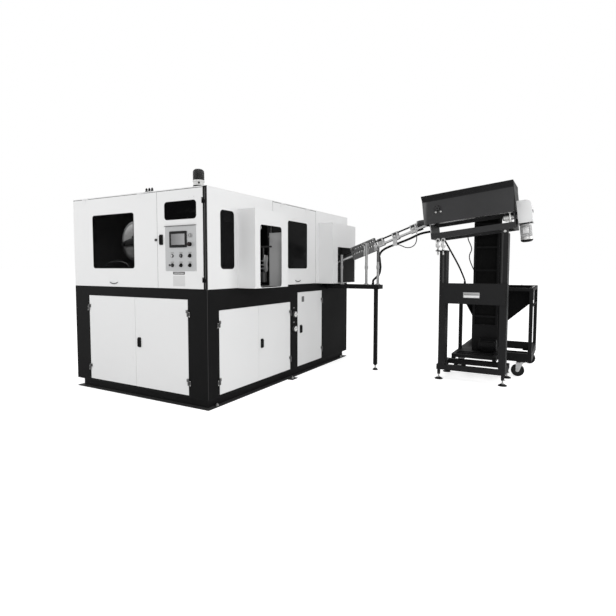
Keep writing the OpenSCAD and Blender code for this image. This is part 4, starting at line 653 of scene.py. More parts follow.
def window_seal(name, body, place, x, z, width, height, corner):
    seal = bmesh.new()
    rounded_face(seal, x, z, width, height, corner, SEAL_BACK, 8)
    bmesh.ops.inset_region(seal, faces=list(seal.faces), thickness=SEAL_WIDTH, use_even_offset=True,
                           use_boundary=True)
    middle = max(seal.faces, key=lambda f: f.calc_area())
    bmesh.ops.delete(seal, geom=[middle], context="FACES")
    grown = pulled(seal, seal.faces, (0, -SEAL_BACK - SEAL_PROUD, 0))
    rims = dict.fromkeys(e for g in grown if isinstance(g, bmesh.types.BMFace) for e in g.edges
                         if not e.is_contiguous or e.calc_face_angle(0) > 1)
    break_edges(seal, rims, 1.0)
    settle(seal, name, seal_rubber, body, place)


window_seal("front_window_seal", "front_door", machine_mm, -1580, 1306, 634, 556, 28)
window_seal("control_window_seal", "control_door", machine_mm, -520, 1762, 400, 170, 33)
window_seal("side_window_seal", "side_door", right_side, 1392, 1306, 454, 556, 28)
window_seal("long_window_seal", "machine", right_side, 190, 1301, 204, 556, 38)


# Control door and plate
# The narrow hinged door carries a grey aluminium plate: touch screen, lamp,
# emergency stop, two push buttons, three selectors and the key switch.
control_white = white_paint("control door coat", patches=[
    # Painted shade: the door's inner faces and its edge in the gap beside the front door.
    ([((-617, 1.2, 1119), (-44, 40, 2035)), ((-619, 0.3, 1119), (-617, 40, 2035))], painted_inside_shade, 0.7, 0.0),
    ([((-48.5, -40, 1188), (-30, -0.2, 1226)), ((-48.5, -40, 1907), (-30, -0.2, 1945))],
     grey(0.02), 0.5, 0.0)])
coat_node(control_white, "control_door")
plate_alloy = surface(
    "grey anodised plate", (0.43, 0.435, 0.44), 0.42, specular=0.4, spread=0.05, grain=900, depth=0.05,
    patches=[([((-216, -22, 1590), (-172, -3.1, 1632))], grey(0.42), 0.25, 0.0),
             ([((-518, -16, 1701.5), (-120, 0, 1708))], grey(0.06), 0.4, 0.0)])
coat_node(plate_alloy, "control_plate")
screen_plastic = surface("screen housing plastic", (0.005, 0.005, 0.0052), 0.45, specular=0.12, grain=1600)
coat_node(screen_plastic, "touch_screen")

display = bmesh.new()
rounded_plate(display, -431, 1527, 172, 102, 2, -8.5, -7.9, 0)
display_glass, display_tree, display_shader = blank_material("touch screen display")
display_place = wire(display_tree, "TexCoord")
display_map = wire(display_tree, "Mapping", {
    "Vector": display_place.outputs["Object"], "Location": (-3.0, 0, -8.98), "Scale": (5.8, 1, 5.8)})
display_ramp = wire(display_tree, "ValToRGB", {0: wire(
    display_tree, "TexGradient", {0: display_map.outputs[0]}).outputs["Fac"]})
display_ramp.color_ramp.elements[0].color = (0.07, 0.07, 0.073, 1)
display_ramp.color_ramp.elements[1].color = (0.25, 0.25, 0.255, 1)
display_tree.links.new(display_ramp.outputs[0], display_shader.inputs["Base Color"])
display_shader.inputs["Roughness"].default_value = 0.15
display_shader.inputs["Specular IOR Level"].default_value = 0.4
settle(display, "screen_display", display_glass, "control_door")

RIGHT_COLUMN, MIDDLE_COLUMN, LEFT_COLUMN = -200, -311, -422
LOWER_ROW, UPPER_ROW = 1337, 1425
STOP_PLACE = (-195, 1530)
ring_black = surface("black button ring", grey(0.005), 0.5, specular=0.12, spread=0.05)
legend_grey = surface(
    "bare legend plates", grey(0.30), 0.45, specular=0.3, spread=0.04, patches=[
        ([((-440, -3, 1240), (-260, 0, 1275))], grey(0.012), 0.5, 0.0),
        ([((-408, -3, 1259), (-280, 0, 1267)), ((-430, -3, 1130), (-250, 0, 1239))], grey(0.6), 0.5, 0.0)])
rings, legends, plate_screws = bmesh.new(), bmesh.new(), bmesh.new()
operating_places = [(x, z) for x in (RIGHT_COLUMN, MIDDLE_COLUMN, LEFT_COLUMN)
                    for z in (LOWER_ROW, UPPER_ROW)]
turned(legends, [(13, 0), (14, 12), (17.5, 12), (18.5, 0)], (-193, -3, 1611), "-y", 28)
for x, z in operating_places + [STOP_PLACE]:
    wide = 15.4 if (x, z) == (LEFT_COLUMN, UPPER_ROW) else 18.5
    turned(rings, [(10.4, 8), (10.6, 9.6), (12, 10.4), (wide - 1, 9.6), (wide, 7.5), (wide, 3), (10.4, 3),
                   (10.4, 8)], (x, 0, z), "-y", 28)
for x, z in operating_places:
    rounded_plate(legends, x - 20, z + 22, 40, 12, 2, -4, -3, 0.3)
for x in (-505, -133):
    for z in (1289, 1695):
        turned(plate_screws, [(0, 3), (4, 3), (3.8, 4.4), (2, 5.4), (0, 5.6)], (x, 0, z), "-y", 14)
rounded_plate(legends, -418, 1250, 148, 26, 3, -1.2, 0, 0.3)
rounded_plate(legends, -420, 1140, 152, 98, 3, -0.7, 0, 0.2)
for x, z in ((-207, 1956), (-148, 1959)):
    turned(plate_screws, [(0, 0), (5.5, 0), (5.2, 2), (2.8, 3.4), (0, 3.8)], (x, 0, z), "-y", 16)
settle(rings, "button_rings", ring_black, "control_door")
settle(legends, "legend_plates", legend_grey, "control_door")
settle(plate_screws, "control_plate_screws", screw_steel, "control_door")


# Push buttons, selectors, key and emergency stop
# Moulded caps that move in their bores: a white start and a grey stop button,
# three black selectors with slanted grips, a key, and the stop mushroom.
cap_white = surface("white button cap", grey(0.55), 0.3, specular=0.4, spread=0.02)
cap_grey = surface("grey button cap", (0.13, 0.13, 0.135), 0.35, specular=0.4, spread=0.02)
cap_black = surface("black selector cap", grey(0.005), 0.45, specular=0.15, spread=0.05)
key_steel = surface("dark key steel", grey(0.05), 0.35, metallic=0.5, spread=0.05, patch=60)
stop_red = surface("dark red stop mushroom", (0.010, 0.004, 0.004), 0.4, specular=0.2, spread=0.05)
STEM = [(0, -14), (10, -14)]
for node, material, slot, x in (("start_button", cap_white, "button_white", LEFT_COLUMN),
                                ("stop_button", cap_grey, "button_grey", MIDDLE_COLUMN)):
    cap = bmesh.new()
    turned(cap, STEM + [(10, 11.2), (9.2, 12.7), (7.5, 13), (6.5, 12.2), (0, 11.9)],
           (x, 0, UPPER_ROW), "-y", 32)
    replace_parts(settle(cap, node + "_cap", material, node), node)
for node, x, z in (("mode_selector", RIGHT_COLUMN, UPPER_ROW), ("heat_selector", MIDDLE_COLUMN, LOWER_ROW),
                   ("air_selector", RIGHT_COLUMN, LOWER_ROW)):
    knob = bmesh.new()
    turned(knob, STEM + [(10, 13), (9, 14), (0, 14)], (x, 0, z), "-y", 32)
    drawn_at(knob, turn_about("Y", 35, (x, 0, z)), rounded_plate, -5, -14, 10, 28, 4, -24, -13.5, 1.4)
    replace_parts(settle(knob, node + "_knob", cap_black, node), node)
key = bmesh.new()
turned(key, STEM + [(10, 14.5), (8.8, 16), (0, 16)], (LEFT_COLUMN, 0, LOWER_ROW), "-y", 32)
block(key, (LEFT_COLUMN - 1.5, -32, LOWER_ROW - 3), (LEFT_COLUMN + 1.5, -15, LOWER_ROW + 3), 0.4, 1)
turned(key, [(3, -1.5), (11, -1.5), (11, 1.5), (3, 1.5), (3, -1.5)], (LEFT_COLUMN, -40, LOWER_ROW), "+x", 28)
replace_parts(settle(key, "key_in_lock", key_steel, "key_switch"), "key_switch")
mushroom = bmesh.new()
turned(mushroom, STEM + [(10, 19), (16, 20), (19, 21.5), (20, 24), (19.6, 28), (17, 32), (12, 33.8), (0, 34)],
       (STOP_PLACE[0], 0, STOP_PLACE[1]), "-y", 36)
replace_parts(settle(mushroom, "stop_mushroom", stop_red, "emergency_stop"), "emergency_stop")


# Signal beacon
# White moulded foot with a small lock knob, under a dark ribbed lens that is
# screwed on over the lamp.
beacon_white = surface("beacon foot plastic", (0.62, 0.62, 0.61), 0.4, specular=0.4, spread=0.08, patch=40,
                       grain=1200)
lens_dark = surface("dark ribbed lens", grey(0.003), 0.16, specular=0.2, spread=0.05, depth=0.02, alpha=0.84)
ROOF = 2050
BEACON_FOOT, BEACON_LENS = (-142, 62, ROOF), (-142, 62, ROOF + 54)
foot = bmesh.new()
turned(foot, [(0, 14), (48, 14), (48, 50), (50, 53), (50, 62), (52.3, 62), (53.5, 60), (53.5, 49), (51, 46),
              (49, 46)], BEACON_FOOT, "+z", 48)
for x, y in ((-197, 50), (-88, 74)):
    turned(foot, [(0, 0.3), (13, 0.3), (14, 1.5), (14, 6), (12, 8), (0, 8)], (x, y, ROOF), "+z", 24)
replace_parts(settle(foot, "beacon_foot", beacon_white, "machine"), "beacon_base")
foot_trim = bmesh.new()
turned(foot_trim, [(0, 0.3), (50, 0.3), (51.5, 1.5), (51.5, 12.5), (50, 14.5), (0, 14.5)],
       BEACON_FOOT, "+z", 48)
rod(foot_trim, (-106, 30, ROOF + 35), 9, 9, "-y", 1.5)
settle(foot_trim, "beacon_gasket_and_lock", latch_nylon, "machine")
ribs = [(0, 0.2), (49, 0.2)]
for low in range(0, 81, 9):
    ribs += [(52, 2 + low), (51.6, 6.5 + low), (49.6, 8.4 + low)]
ribs += [(50.8, 86), (47.5, 95), (41, 103), (31, 109), (18, 111.5), (0, 112)]
lens = bmesh.new()
turned(lens, ribs, BEACON_LENS, "+z", 48)
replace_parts(settle(lens, "beacon_ribbed_lens", lens_dark, "machine", sharp=50), "beacon_lens")
beacon_lamp = bmesh.new()
turned(beacon_lamp, [(0, 0.5), (26, 0.5), (26, 6), (16, 10), (14, 22), (17, 44), (17, 62), (11, 74), (0, 76)],
       (-150, 62, ROOF + 54), "+z", 32)
settle(beacon_lamp, "beacon_lamp_and_mirror", beacon_white, "machine")


# Clamp unit, drive wheel and oven
# The machine's works behind the windows: cast grey frame, ground steel platens
# and stretch unit, and the worn grey drive wheel with its black crank arm. A
# bent guard hoop stands behind the front window.
works_grey = surface("works grey enamel", (0.028, 0.029, 0.03), 0.5, specular=0.3, spread=0.1, grain=300)
ground_steel = surface("ground steel", grey(0.35), 0.35, metallic=0.8, spread=0.15, patch=12, grain=300)
wheel_grey = surface("worn wheel enamel", grey(0.15), 0.6, specular=0.2, spread=0.9, patch=9)
coat_node(works_grey, "clamp_frame", "oven")
coat_node(ground_steel, "platen_left", "platen_right", "stretch_unit")
coat_node(wheel_grey, "crank_wheel")
soft_lamp("inside light", (-0.50, -1.435, 1.93), (-0.22, -1.28, 1.58), 0.09, 7)
WHEEL_X, WHEEL_FRONT, WHEEL_Z = -1190, 225, 1598
wheel_disc = bmesh.new()
turned(wheel_disc, [(26, 1.5), (60, 1.5), (66, -5), (176, -5), (182, -0.4), (207, -0.4), (210, 2.4),
                    (210, 47), (207, 50), (182, 50), (176, 44), (66, 44), (60, 50), (26, 50), (26, 1.5)],
       (WHEEL_X, WHEEL_FRONT, WHEEL_Z), "+y", 64)
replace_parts(settle(wheel_disc, "drive_wheel_disc", wheel_grey, "crank_wheel"), "crank_wheel")
wheel_shaft = bmesh.new()
rod(wheel_shaft, (WHEEL_X, WHEEL_FRONT - 9, WHEEL_Z), 209, 24.8, "+y", 2)
settle(wheel_shaft, "drive_wheel_shaft", ground_steel, "crank_wheel")
wheel_rim = bmesh.new()
turned(wheel_rim, [(190, -1.4), (210.4, -1.4), (212, 0.4), (212, 49.6), (210.4, 51.4), (190, 51.4),
                   (190, -1.4)], (WHEEL_X, WHEEL_FRONT, WHEEL_Z), "+y", 64)
settle(wheel_rim, "drive_wheel_rim", works_grey, "crank_wheel")


def cut_plate(shape, outline, y, thickness, rounding):
    """A plate cut to an outline of (x, z) points, parallel to the front, in an empty shape."""
    shape.faces.new([shape.verts.new((x, y, z)) for x, z in outline])
    pulled(shape, shape.faces, (0, thickness, 0))
    break_edges(shape, shape.edges, rounding)


def arc(x, z, radius, start, end):
    return [(x + radius * math.cos(a), z + radius * math.sin(a))
            for a in map(math.radians, range(start, end + 1, 20))]


crank_arm = bmesh.new()
cut_plate(crank_arm, arc(0, 0, 44, -80, 80) + arc(-176, -30, 30, 100, 260), WHEEL_FRONT - 11, 16, 2)
bmesh.ops.translate(crank_arm, vec=(WHEEL_X, 0, WHEEL_Z), verts=crank_arm.verts)
turned(crank_arm, [(0, 0), (18, 0), (20, 2), (20, 12), (0, 12)],
       (WHEEL_X - 176, WHEEL_FRONT - 11, WHEEL_Z - 30), "-y", 28)
settle(crank_arm, "drive_wheel_arm", black_coat, "crank_wheel")


def tube_along(shape, route, radius, sides=18):
    """Joins round pieces with soft ends along a route given in millimetres."""
    for start, end in zip(route, route[1:]):
        along = Vector(end) - Vector(start)
        length = along.length
        lean = along.to_track_quat("Z", "Y").to_matrix().to_4x4()
        drawn_at(shape, Matrix.Translation(start) @ lean, turned, [
            (0, -radius * 0.5), (radius * 0.8, -radius * 0.3), (radius, 0), (radius, length),
            (radius * 0.8, length + radius * 0.3), (0, length + radius * 0.5)], (0, 0, 0), "+z", sides)


guard_hoop = bmesh.new()
hoop_path = [(-1528, 1136), (-1528, 1300), (-1514, 1332), (-1476, 1357), (-1416, 1374), (-1328, 1382),
             (-1241, 1375), (-1178, 1356), (-1144, 1330), (-1132, 1300), (-1132, 1136)]
tube_along(guard_hoop, [(x, 92, z) for x, z in hoop_path], 6, 14)
settle(guard_hoop, "front_guard_hoop", works_grey, "machine", sharp=60)


# Bottle outlet
# Seen through the doorway of the outlet hood: a cross rod with a cast gripper
# lever and its short air cylinder, and a round stop sensor at the sheet's edge.
cast_alloy = surface("cast gripper alloy", grey(0.36), 0.42, metallic=0.35, spread=0.6, patch=22)
dull_alloy = surface("dull outlet steel", grey(0.06), 0.45, metallic=0.4, spread=0.3, patch=30)
OUTLET_Y = 905
outlet_works = bmesh.new()
rod(outlet_works, (-70, OUTLET_Y, 1539), 165, 9, "+x", 1.5, 20)
block(outlet_works, (-78, OUTLET_Y - 21, 1520), (-52, OUTLET_Y + 21, 1558), 3)
rod(outlet_works, (-8, OUTLET_Y, 1158), 110, 34, "+z", 4, 32)
rod(outlet_works, (-8, OUTLET_Y, 1268), 271, 9, "+z", 1.5, 20)
settle(outlet_works, "outlet_cross_rod", dull_alloy, "machine")
gripper = bmesh.new()
cut_plate(gripper, [(14, 1452), (44, 1446), (50, 1420), (42, 1352), (46, 1296), (34, 1268), (18, 1272),
                    (12, 1330), (4, 1404)], OUTLET_Y - 19, 26, 3)
for height in (1306, 1346, 1388):
    turned(gripper, [(0, 0), (9, 0), (11, 2), (11, 34), (8, 40), (6, 58), (0, 60)],
           (22, OUTLET_Y - 7, height), "-x", 20)
settle(gripper, "outlet_gripper", cast_alloy, "machine")
SENSOR_PLACE = (196, 548, 1706)
stop_sensor = bmesh.new()
turned(stop_sensor, [(9, 0), (20, 0), (22, 2), (22, 10), (20, 12), (9, 12), (9, 0)], SENSOR_PLACE, "-y", 28)
turned(stop_sensor, [(0, 2), (7, 2), (7, 16), (0, 16)], SENSOR_PLACE, "-y", 20)
block(stop_sensor, (168, 548, 1690), (206, 553, 1722), 1)
turned(stop_sensor, [(0, 0), (7, 0), (8, 3), (5, 11), (0, 12)], (64, OUTLET_Y, 1640), "+x", 18)
settle(stop_sensor, "outlet_stop_sensor", cast_alloy, "machine")


# Shelf and preform rail
# Black sheet shelf on one leg, three round posts, and the sloping rail of two
# bright neck bars under a black guide rod, held by bolted clamp plates.
def split_by_slope(material, degrees, offset, colour, roughness):
    """Gives the part of a finish that lies over a tilted plane a colour of its own."""
    tree = material.node_tree
    place = wire(tree, "TexCoord").outputs["Object"]
    lean = math.radians(degrees)
    height = wire(tree, "VectorMath", {0: place, 1: (-math.sin(lean), 0, math.cos(lean))},
                  operation="DOT_PRODUCT").outputs["Value"]
    mask = wire(tree, "Math", {0: height, 1: offset}, operation="GREATER_THAN").outputs[0]
    for name, value in (("Base Color", (*colour, 1)), ("Roughness", (*grey(roughness), 1)),
                        ("Metallic", (0, 0, 0, 1))):
        socket = tree.nodes["Principled BSDF"].inputs[name]
        kept = socket.links[0].from_socket if socket.is_linked else constant(tree, socket.default_value)
        mixed = wire(tree, "MixRGB", {0: mask, 1: kept, 2: value})
        tree.links.new(mixed.outputs[0], socket)


RAIL_SLOPE = 20.5
RAIL_CLAMPS = (-162, -406, -612)
rail_steel = surface("rail steel", grey(0.60), 0.34, metallic=0.45, spread=0.14, patch=14, grain=400)
split_by_slope(rail_steel, RAIL_SLOPE, 0.9635, grey(0.006), 0.5)
support_steel = surface(
    "rail support steel", grey(0.52), 0.4, metallic=0.3, spread=0.22, patch=26, grain=400, patches=[
        ([((190, 2385, 1100), (240, 2440, 1490)), ((540, 2385, 1100), (592, 2440, 1636)),
          ((670, 2400, 1100), (752, 2495, 1575))], grey(0.34), 0.42, 0.3),
        ([((300, 2430, 1390), (752, 2500, 1720)), ((300, 2400, 1390), (520, 2500, 1720))],
         grey(0.10), 0.5, 0.2),
        ([((594, 2400, 1480), (668, 2500, 1720)), ((520, 2400, 1638), (752, 2500, 1720))],
         grey(0.14), 0.5, 0.2)])
shelf_coat = black_paint("shelf black coat", patches=[
    ([((660, 2340, 25), (760, 2450, 62))], grey(0.5), 0.35, 0.6)])
coat_node(shelf_coat, "side_shelf")
coat_node(rail_steel, "infeed_rail")
coat_node(support_steel, "rail_supports")
rail_mm = machine_mm @ turn_about("Y", -RAIL_SLOPE, (1338, 2450, 1820))
rail_bolts = bmesh.new()
for x in RAIL_CLAMPS:
    for step in (-27, 27):
        for height in (-2, 46):
            hex_bolt(rail_bolts, (x + step, -25, height), 8, "-y")
    turned(rail_bolts, [(0, 0), (9, 0), (9, 3), (12, 5), (14, 9), (14, 20), (12, 24), (0, 25)],
           (x, -36, 35), "-y", 20)
for x in (-1020, -858, -696):
    hex_bolt(rail_bolts, (x, -23, 110), 6, "-y")
settle(rail_bolts, "rail_clamp_bolts", screw_steel, "machine", rail_mm)
guide_sleeve, rail_trim = bmesh.new(), bmesh.new()
for start, end in ((-1228, -655), (-569, -449), (-363, -205)):
    rod(guide_sleeve, (start, 0, 74), end - start, 10, "+x", 1.5, 20)
for start, end in ((-1470, -1040), (-675, -654), (-570, -448), (-364, -204), (-120, -20)):
    block(guide_sleeve, (start, -22, -6), (end, -20.2, 3), 0.5, 1)
block(guide_sleeve, (-118, -30, -14), (-60, 30, -1), 2)
settle(guide_sleeve, "rail_guide_sleeve", latch_nylon, "machine", rail_mm)
for x in RAIL_CLAMPS:
    block(rail_trim, (x - 46, -27, -18), (x + 46, -12, -12.2), 1)
    block(rail_trim, (x - 22, -31, 52), (x + 22, -25.4, 80), 1.5)
settle(rail_trim, "rail_clamp_jaws", works_grey, "machine", rail_mm)
conduit_sleeve = bmesh.new()
tube_along(conduit_sleeve, rail_route[3:8], 19.5)
settle(conduit_sleeve, "conduit_sleeve", black_rubber, "machine", sharp=60)
flange_bolts = bmesh.new()
for x, y in ((214, 2413), (566, 2413), (711, 2450)):
    for a in map(math.radians, (45, 135, 225, 315)):
        hex_bolt(flange_bolts, (x + 26 * math.cos(a), y + 26 * math.sin(a), 1107), 6)
settle(flange_bolts, "post_flange_bolts", screw_steel, "machine")


# Feeder stand
# Black tube stand with two columns and a cross box, on four steel levelling
# feet with bright stems. Eye bolts with shackles carry the tilting frame.
stand_coat = black_paint("stand black coat", (0.0085, 0.0085, 0.009), 0.5, 0.2, 0.3, 3.0, patches=[
    ([((1480, 2260, 24), (2300, 2800, 61))], grey(0.5), 0.35, 0.6),
    # Painted highlights: the thin lighter lines down the fronts of both columns and down the right column's
    # side.
    ([((1563, 2294, 1142), (1582, 2297, 1508)), ((2204, 2294, 1145), (2214, 2297, 1720))],
     grey(0.045), 0.4, 0.0),
    ([((2265, 2297, 1145), (2269, 2318, 1745))], grey(0.17), 0.4, 0.0)])
coat_node(stand_coat, "stand_frame")
tilt_coat = black_paint("tilting frame grey coat", (0.024, 0.024, 0.025), 0.5, 0.25, 0.2, 3.0, patches=[
    ([((1400, 2290, 1725), (1432, 2299, 1832))], grey(0.42), 0.35, 0.3),
    ([((1484, 2270, 1470), (1597, 2292, 1662))], grey(0.5), 0.3, 0.6)])
coat_node(tilt_coat, "tilt_frame")
SHACKLE_Y, SHACKLE_TOP, SHACKLE_FOOT = 2284, 1631, 1574
shackles = bmesh.new()
for x in (1510, 1570):
    loop = []
    for a in map(math.radians, range(0, 361, 15)):
        bow = SHACKLE_TOP if math.sin(a) >= 0 else SHACKLE_FOOT
        loop.append((x + 20 * math.cos(a), SHACKLE_Y, bow + 20 * math.sin(a)))
    tube_along(shackles, loop, 7, 10)
    for height, radius in ((1532, 12), (1546, 10), (1478, 12), (1466, 9)):
        hex_nut(shackles, (x, SHACKLE_Y, height), 0, radius, 9)
settle(shackles, "eye_bolt_shackles", zinc, "machine", sharp=50)
stand_bolts, bare_label = bmesh.new(), bmesh.new()
hex_bolt(stand_bolts, (2229.5, 2288, 1717), 14, "-y")
for x in (1538, 2254):
    for y in (2316, 2751):
        turned(stand_bolts, [(9, 0), (17, 0), (18, 1), (18, 9), (17, 10), (9, 10)], (x, y, 61), "+z", 6)
settle(stand_bolts, "stand_bolts", zinc, "machine")
rounded_plate(bare_label, 1805, 975, 177, 62, 4, 2284.6, 2286, 0.4)
label_ink = surface(
    "bare aluminium label", grey(0.38), 0.4, metallic=0.2, spread=0.1, patch=40, patches=[
        ([((1812, 2280, 978), (1978, 2290, 1003))], grey(0.8), 0.4, 0.0),
        ([((1815, 2280, 1008), (1975, 2290, 1013))], grey(0.12), 0.4, 0.0)])
settle(bare_label, "stand_bare_label", label_ink, "machine")


# Trough and rollers
# Folded sheet trough in charcoal coat, its flared lip in black. Two turned steel
# rollers carry the preforms between them down to the rail.
TILT = 6.4
tilt_mm = machine_mm @ turn_about("Y", -TILT, (1470, 0, 1656))
charcoal = surface("charcoal trough coat", (0.036, 0.036, 0.037), 0.5, specular=0.2, spread=0.45, patch=2.6,
                   grain=500, depth=0.1, patches=[
                       # Painted light: the front wall grows two steps lighter towards its left end.
                       ([((1300, 2255, 1780), (1382, 2268, 2200))], (0.06, 0.06, 0.061), 0.5, 0.0),
                       ([((1300, 2255, 1780), (1364, 2268, 2200))], grey(0.11), 0.5, 0.0),
                       # Painted shade: the right end cap is near black.
                       ([((2312, 2255, 1780), (2400, 2900, 2400))], grey(0.012), 0.5, 0.0)])
split_by_slope(charcoal, TILT, 1.811, (0.006, 0.006, 0.0063), 0.5)
roller_steel = surface("turned roller steel", grey(0.5), 0.3, metallic=0.9, spread=0.08, patch=20)
coat_node(charcoal, "trough")
coat_node(roller_steel, "roller_front", "roller_rear")
KNOB_X, TROUGH_WALL, KNOB_Z = 72, 2255, 342
knob = bmesh.new()
turned(knob, [(0, 0), (8, 0), (10, 3), (10, 14), (0, 14)], (KNOB_X, TROUGH_WALL - 9, KNOB_Z), "+y", 24)
for a in map(math.radians, range(0, 360, 72)):
    turned(knob, [(0, -1), (9, -1), (11, 1), (11, 15), (8.5, 18.5), (0, 19)],
           (KNOB_X + 22 * math.cos(a), TROUGH_WALL, KNOB_Z + 22 * math.sin(a)), "-y", 20)
turned(knob, [(0, -1), (20, -1), (21, 1), (21, 15), (18, 18), (8, 19), (8, 22), (0, 22)],
       (KNOB_X, TROUGH_WALL, KNOB_Z), "-y", 32)
settle(knob, "trough_clamp_knob", latch_nylon, "machine", tilt_mm)
trough_bolts = bmesh.new()
for x in (46, 103):
    hex_bolt(trough_bolts, (x, 2262, 301), 11, "-y")
settle(trough_bolts, "trough_bolts", zinc, "machine", tilt_mm)


# Feeder drive
# White gear cover over the roller gears, cast motor with cooling fins and fan
# cowl, silver vibrator with its rod, and the dark wheel motor at the low end.
drive_white = white_paint("gear cover white coat", 0.04)
drive_grey = surface("cast motor grey", grey(0.62), 0.42, metallic=0.2, specular=0.4, spread=0.2, patch=30,
                     grain=260, depth=0.3)
silver = surface("silver vibrator casting", (0.66, 0.66, 0.65), 0.34, metallic=0.5, spread=0.12, patch=30)
dark_motor = surface("dark wheel motor", (0.045, 0.045, 0.047), 0.4, metallic=0.2, specular=0.4,
                     spread=0.2, patch=20)
COVER_LEFT, COVER_RIGHT, COVER_FRONT, COVER_FOOT, COVER_TOP = 893, 1039, 2370, 45, 292
cover = bmesh.new()
corners = [cover.verts.new((x, COVER_FRONT, z)) for x, z in (
    (COVER_LEFT, COVER_FOOT), (COVER_RIGHT, COVER_FOOT), (COVER_RIGHT, COVER_TOP), (COVER_LEFT, COVER_TOP))]
cover.faces.new(corners)
break_edges(cover, [corners[2]], 58, 10, "VERTICES")
pulled(cover, cover.faces, (0, 240, 0))
open_side = [f for f in cover.faces if all(v.co.x < COVER_LEFT + 0.5 for v in f.verts)]
bmesh.ops.delete(cover, geom=open_side, context="FACES")
bmesh.ops.recalc_face_normals(cover, faces=cover.faces)
folds = [e for e in cover.edges if len(e.link_faces) == 2 and e.calc_face_angle(0) > 0.6]
break_edges(cover, folds, 3, 3)
bmesh.ops.solidify(cover, geom=list(cover.faces), thickness=3)
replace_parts(settle(cover, "gear_cover", drive_white, "machine", tilt_mm), "feeder_drive")
drive_black = bmesh.new()
for low, high, rounding in (
    ((898, 2372, 34), (1000, 2604, 45.5), 1.5), ((1010, 2368, 33), (1034, 2392, 45.5), 2),
    ((1036, 2440, 150), (1046, 2470, 182), 3), ((869, 2400, 52), (893.5, 2560, 102), 2),
):
    block(drive_black, low, high, rounding)
settle(drive_black, "gear_cover_feet", black_coat, "machine", tilt_mm)
cover_screws = bmesh.new()
for x, z in ((903, 56), (1028, 56), (903, 282), (980, 284)):
    turned(cover_screws, [(0, 0), (5, 0), (4.7, 1.6), (2.8, 2.8), (0, 3.1)], (x, COVER_FRONT, z), "-y", 14)
settle(cover_screws, "gear_cover_screws", screw_steel, "machine", tilt_mm)


def fins(shape, count, middle, axis, low, high, rounding):
    """Equal cooling fins round a motor; low and high are the corners of the first one."""
    for step in range(count):
        drawn_at(shape, turn_about(axis, 360 / count * step, middle), block, low, high, rounding, 1)


MOTOR_X, MOTOR_Y, COWL_TOP = 955, 2490, -106
motor = bmesh.new()
turned(motor, [(0, 0), (60, 0), (64, 3), (64, 11), (56, 15), (50, 20), (50, 150), (0, 150)],
       (MOTOR_X, MOTOR_Y, 37), "-z", 48)
fins(motor, 30, (MOTOR_X, MOTOR_Y, 0), "Z", (48, -1.4, -112), (60.5, 1.4, 16), 0.7)
block(motor, (925, 2408, -70), (985, 2440, 0), 4)
rod(motor, (MOTOR_X, 2408, -18), 12, 9, "-y", 2, 20)
settle(motor, "finned_motor_body", drive_grey, "machine", tilt_mm)
cowl = bmesh.new()
turned(cowl, [(61, 0), (62.5, 1.5), (62.5, 30), (60, 34)], (MOTOR_X, MOTOR_Y, COWL_TOP), "-z", 48)
settle(cowl, "motor_fan_cowl", silver, "machine", tilt_mm)
cowl_grille = bmesh.new()
turned(cowl_grille, [(61.5, 27), (63, 29), (63, 34), (58, 42), (50, 47), (40, 50), (0, 52)],
       (MOTOR_X, MOTOR_Y, COWL_TOP), "-z", 48)
for radius, depth in ((12, 50.9), (22, 50.9), (32, 50.9), (42, 49.4)):
    turned(cowl_grille, [(radius - 2, depth), (radius - 2, depth + 1.6), (radius + 2, depth + 1.4),
                         (radius + 2, depth)], (MOTOR_X, MOTOR_Y, COWL_TOP), "-z", 32)
settle(cowl_grille, "motor_cowl_grille", black_coat, "machine", tilt_mm)
VIBRATOR_END = (743, 2345, 118)
ROD_X, ROD_Y = 823, 2305
vibrator = bmesh.new()
turned(vibrator, [(0, 10), (24, 10), (28, 13), (29, 16), (29, 30), (27, 32), (27, 80), (29, 82), (29, 96),
                  (22, 100), (22, 117), (0, 117)], VIBRATOR_END, "+x", 36)
block(vibrator, (768, 2318, 84), (826, 2372, 94), 3)
turned(vibrator, [(0, 0), (8.4, 0), (9, 0.8), (9, 118), (8.4, 119), (0, 119)], (ROD_X, ROD_Y, 66), "+z", 20)
for height in (67, 82, 168):
    hex_nut(vibrator, (ROD_X, ROD_Y, height), 9, 16, 8)
settle(vibrator, "vibrator_and_rod", silver, "machine", tilt_mm)
vibrator_end = bmesh.new()
turned(vibrator_end, [(0, 0), (18, 0), (22, 3), (24, 10), (0, 10)], VIBRATOR_END, "+x", 36)
settle(vibrator_end, "vibrator_end_cap", dark_motor, "machine", tilt_mm)
WHEEL_MOTOR_END = (-284, 2600, 237)
low_motor = bmesh.new()
turned(low_motor, [(0, 0), (30, 0), (36, 3), (38, 8), (44, 10), (44, 150), (41, 153), (41, 160), (44, 162),
                   (44, 182), (0, 182)], WHEEL_MOTOR_END, "+x", 48)
fins(low_motor, 20, WHEEL_MOTOR_END, "X", (34, 42, -1.4), (142, 47, 1.4), 0.6)
settle(low_motor, "wheel_motor_body", dark_motor, "machine", tilt_mm)
low_ring = bmesh.new()
turned(low_ring, [(36, 5), (45, 7), (46, 9), (46, 20), (44, 22)], WHEEL_MOTOR_END, "+x", 48)
settle(low_ring, "wheel_motor_ring", silver, "machine", tilt_mm)


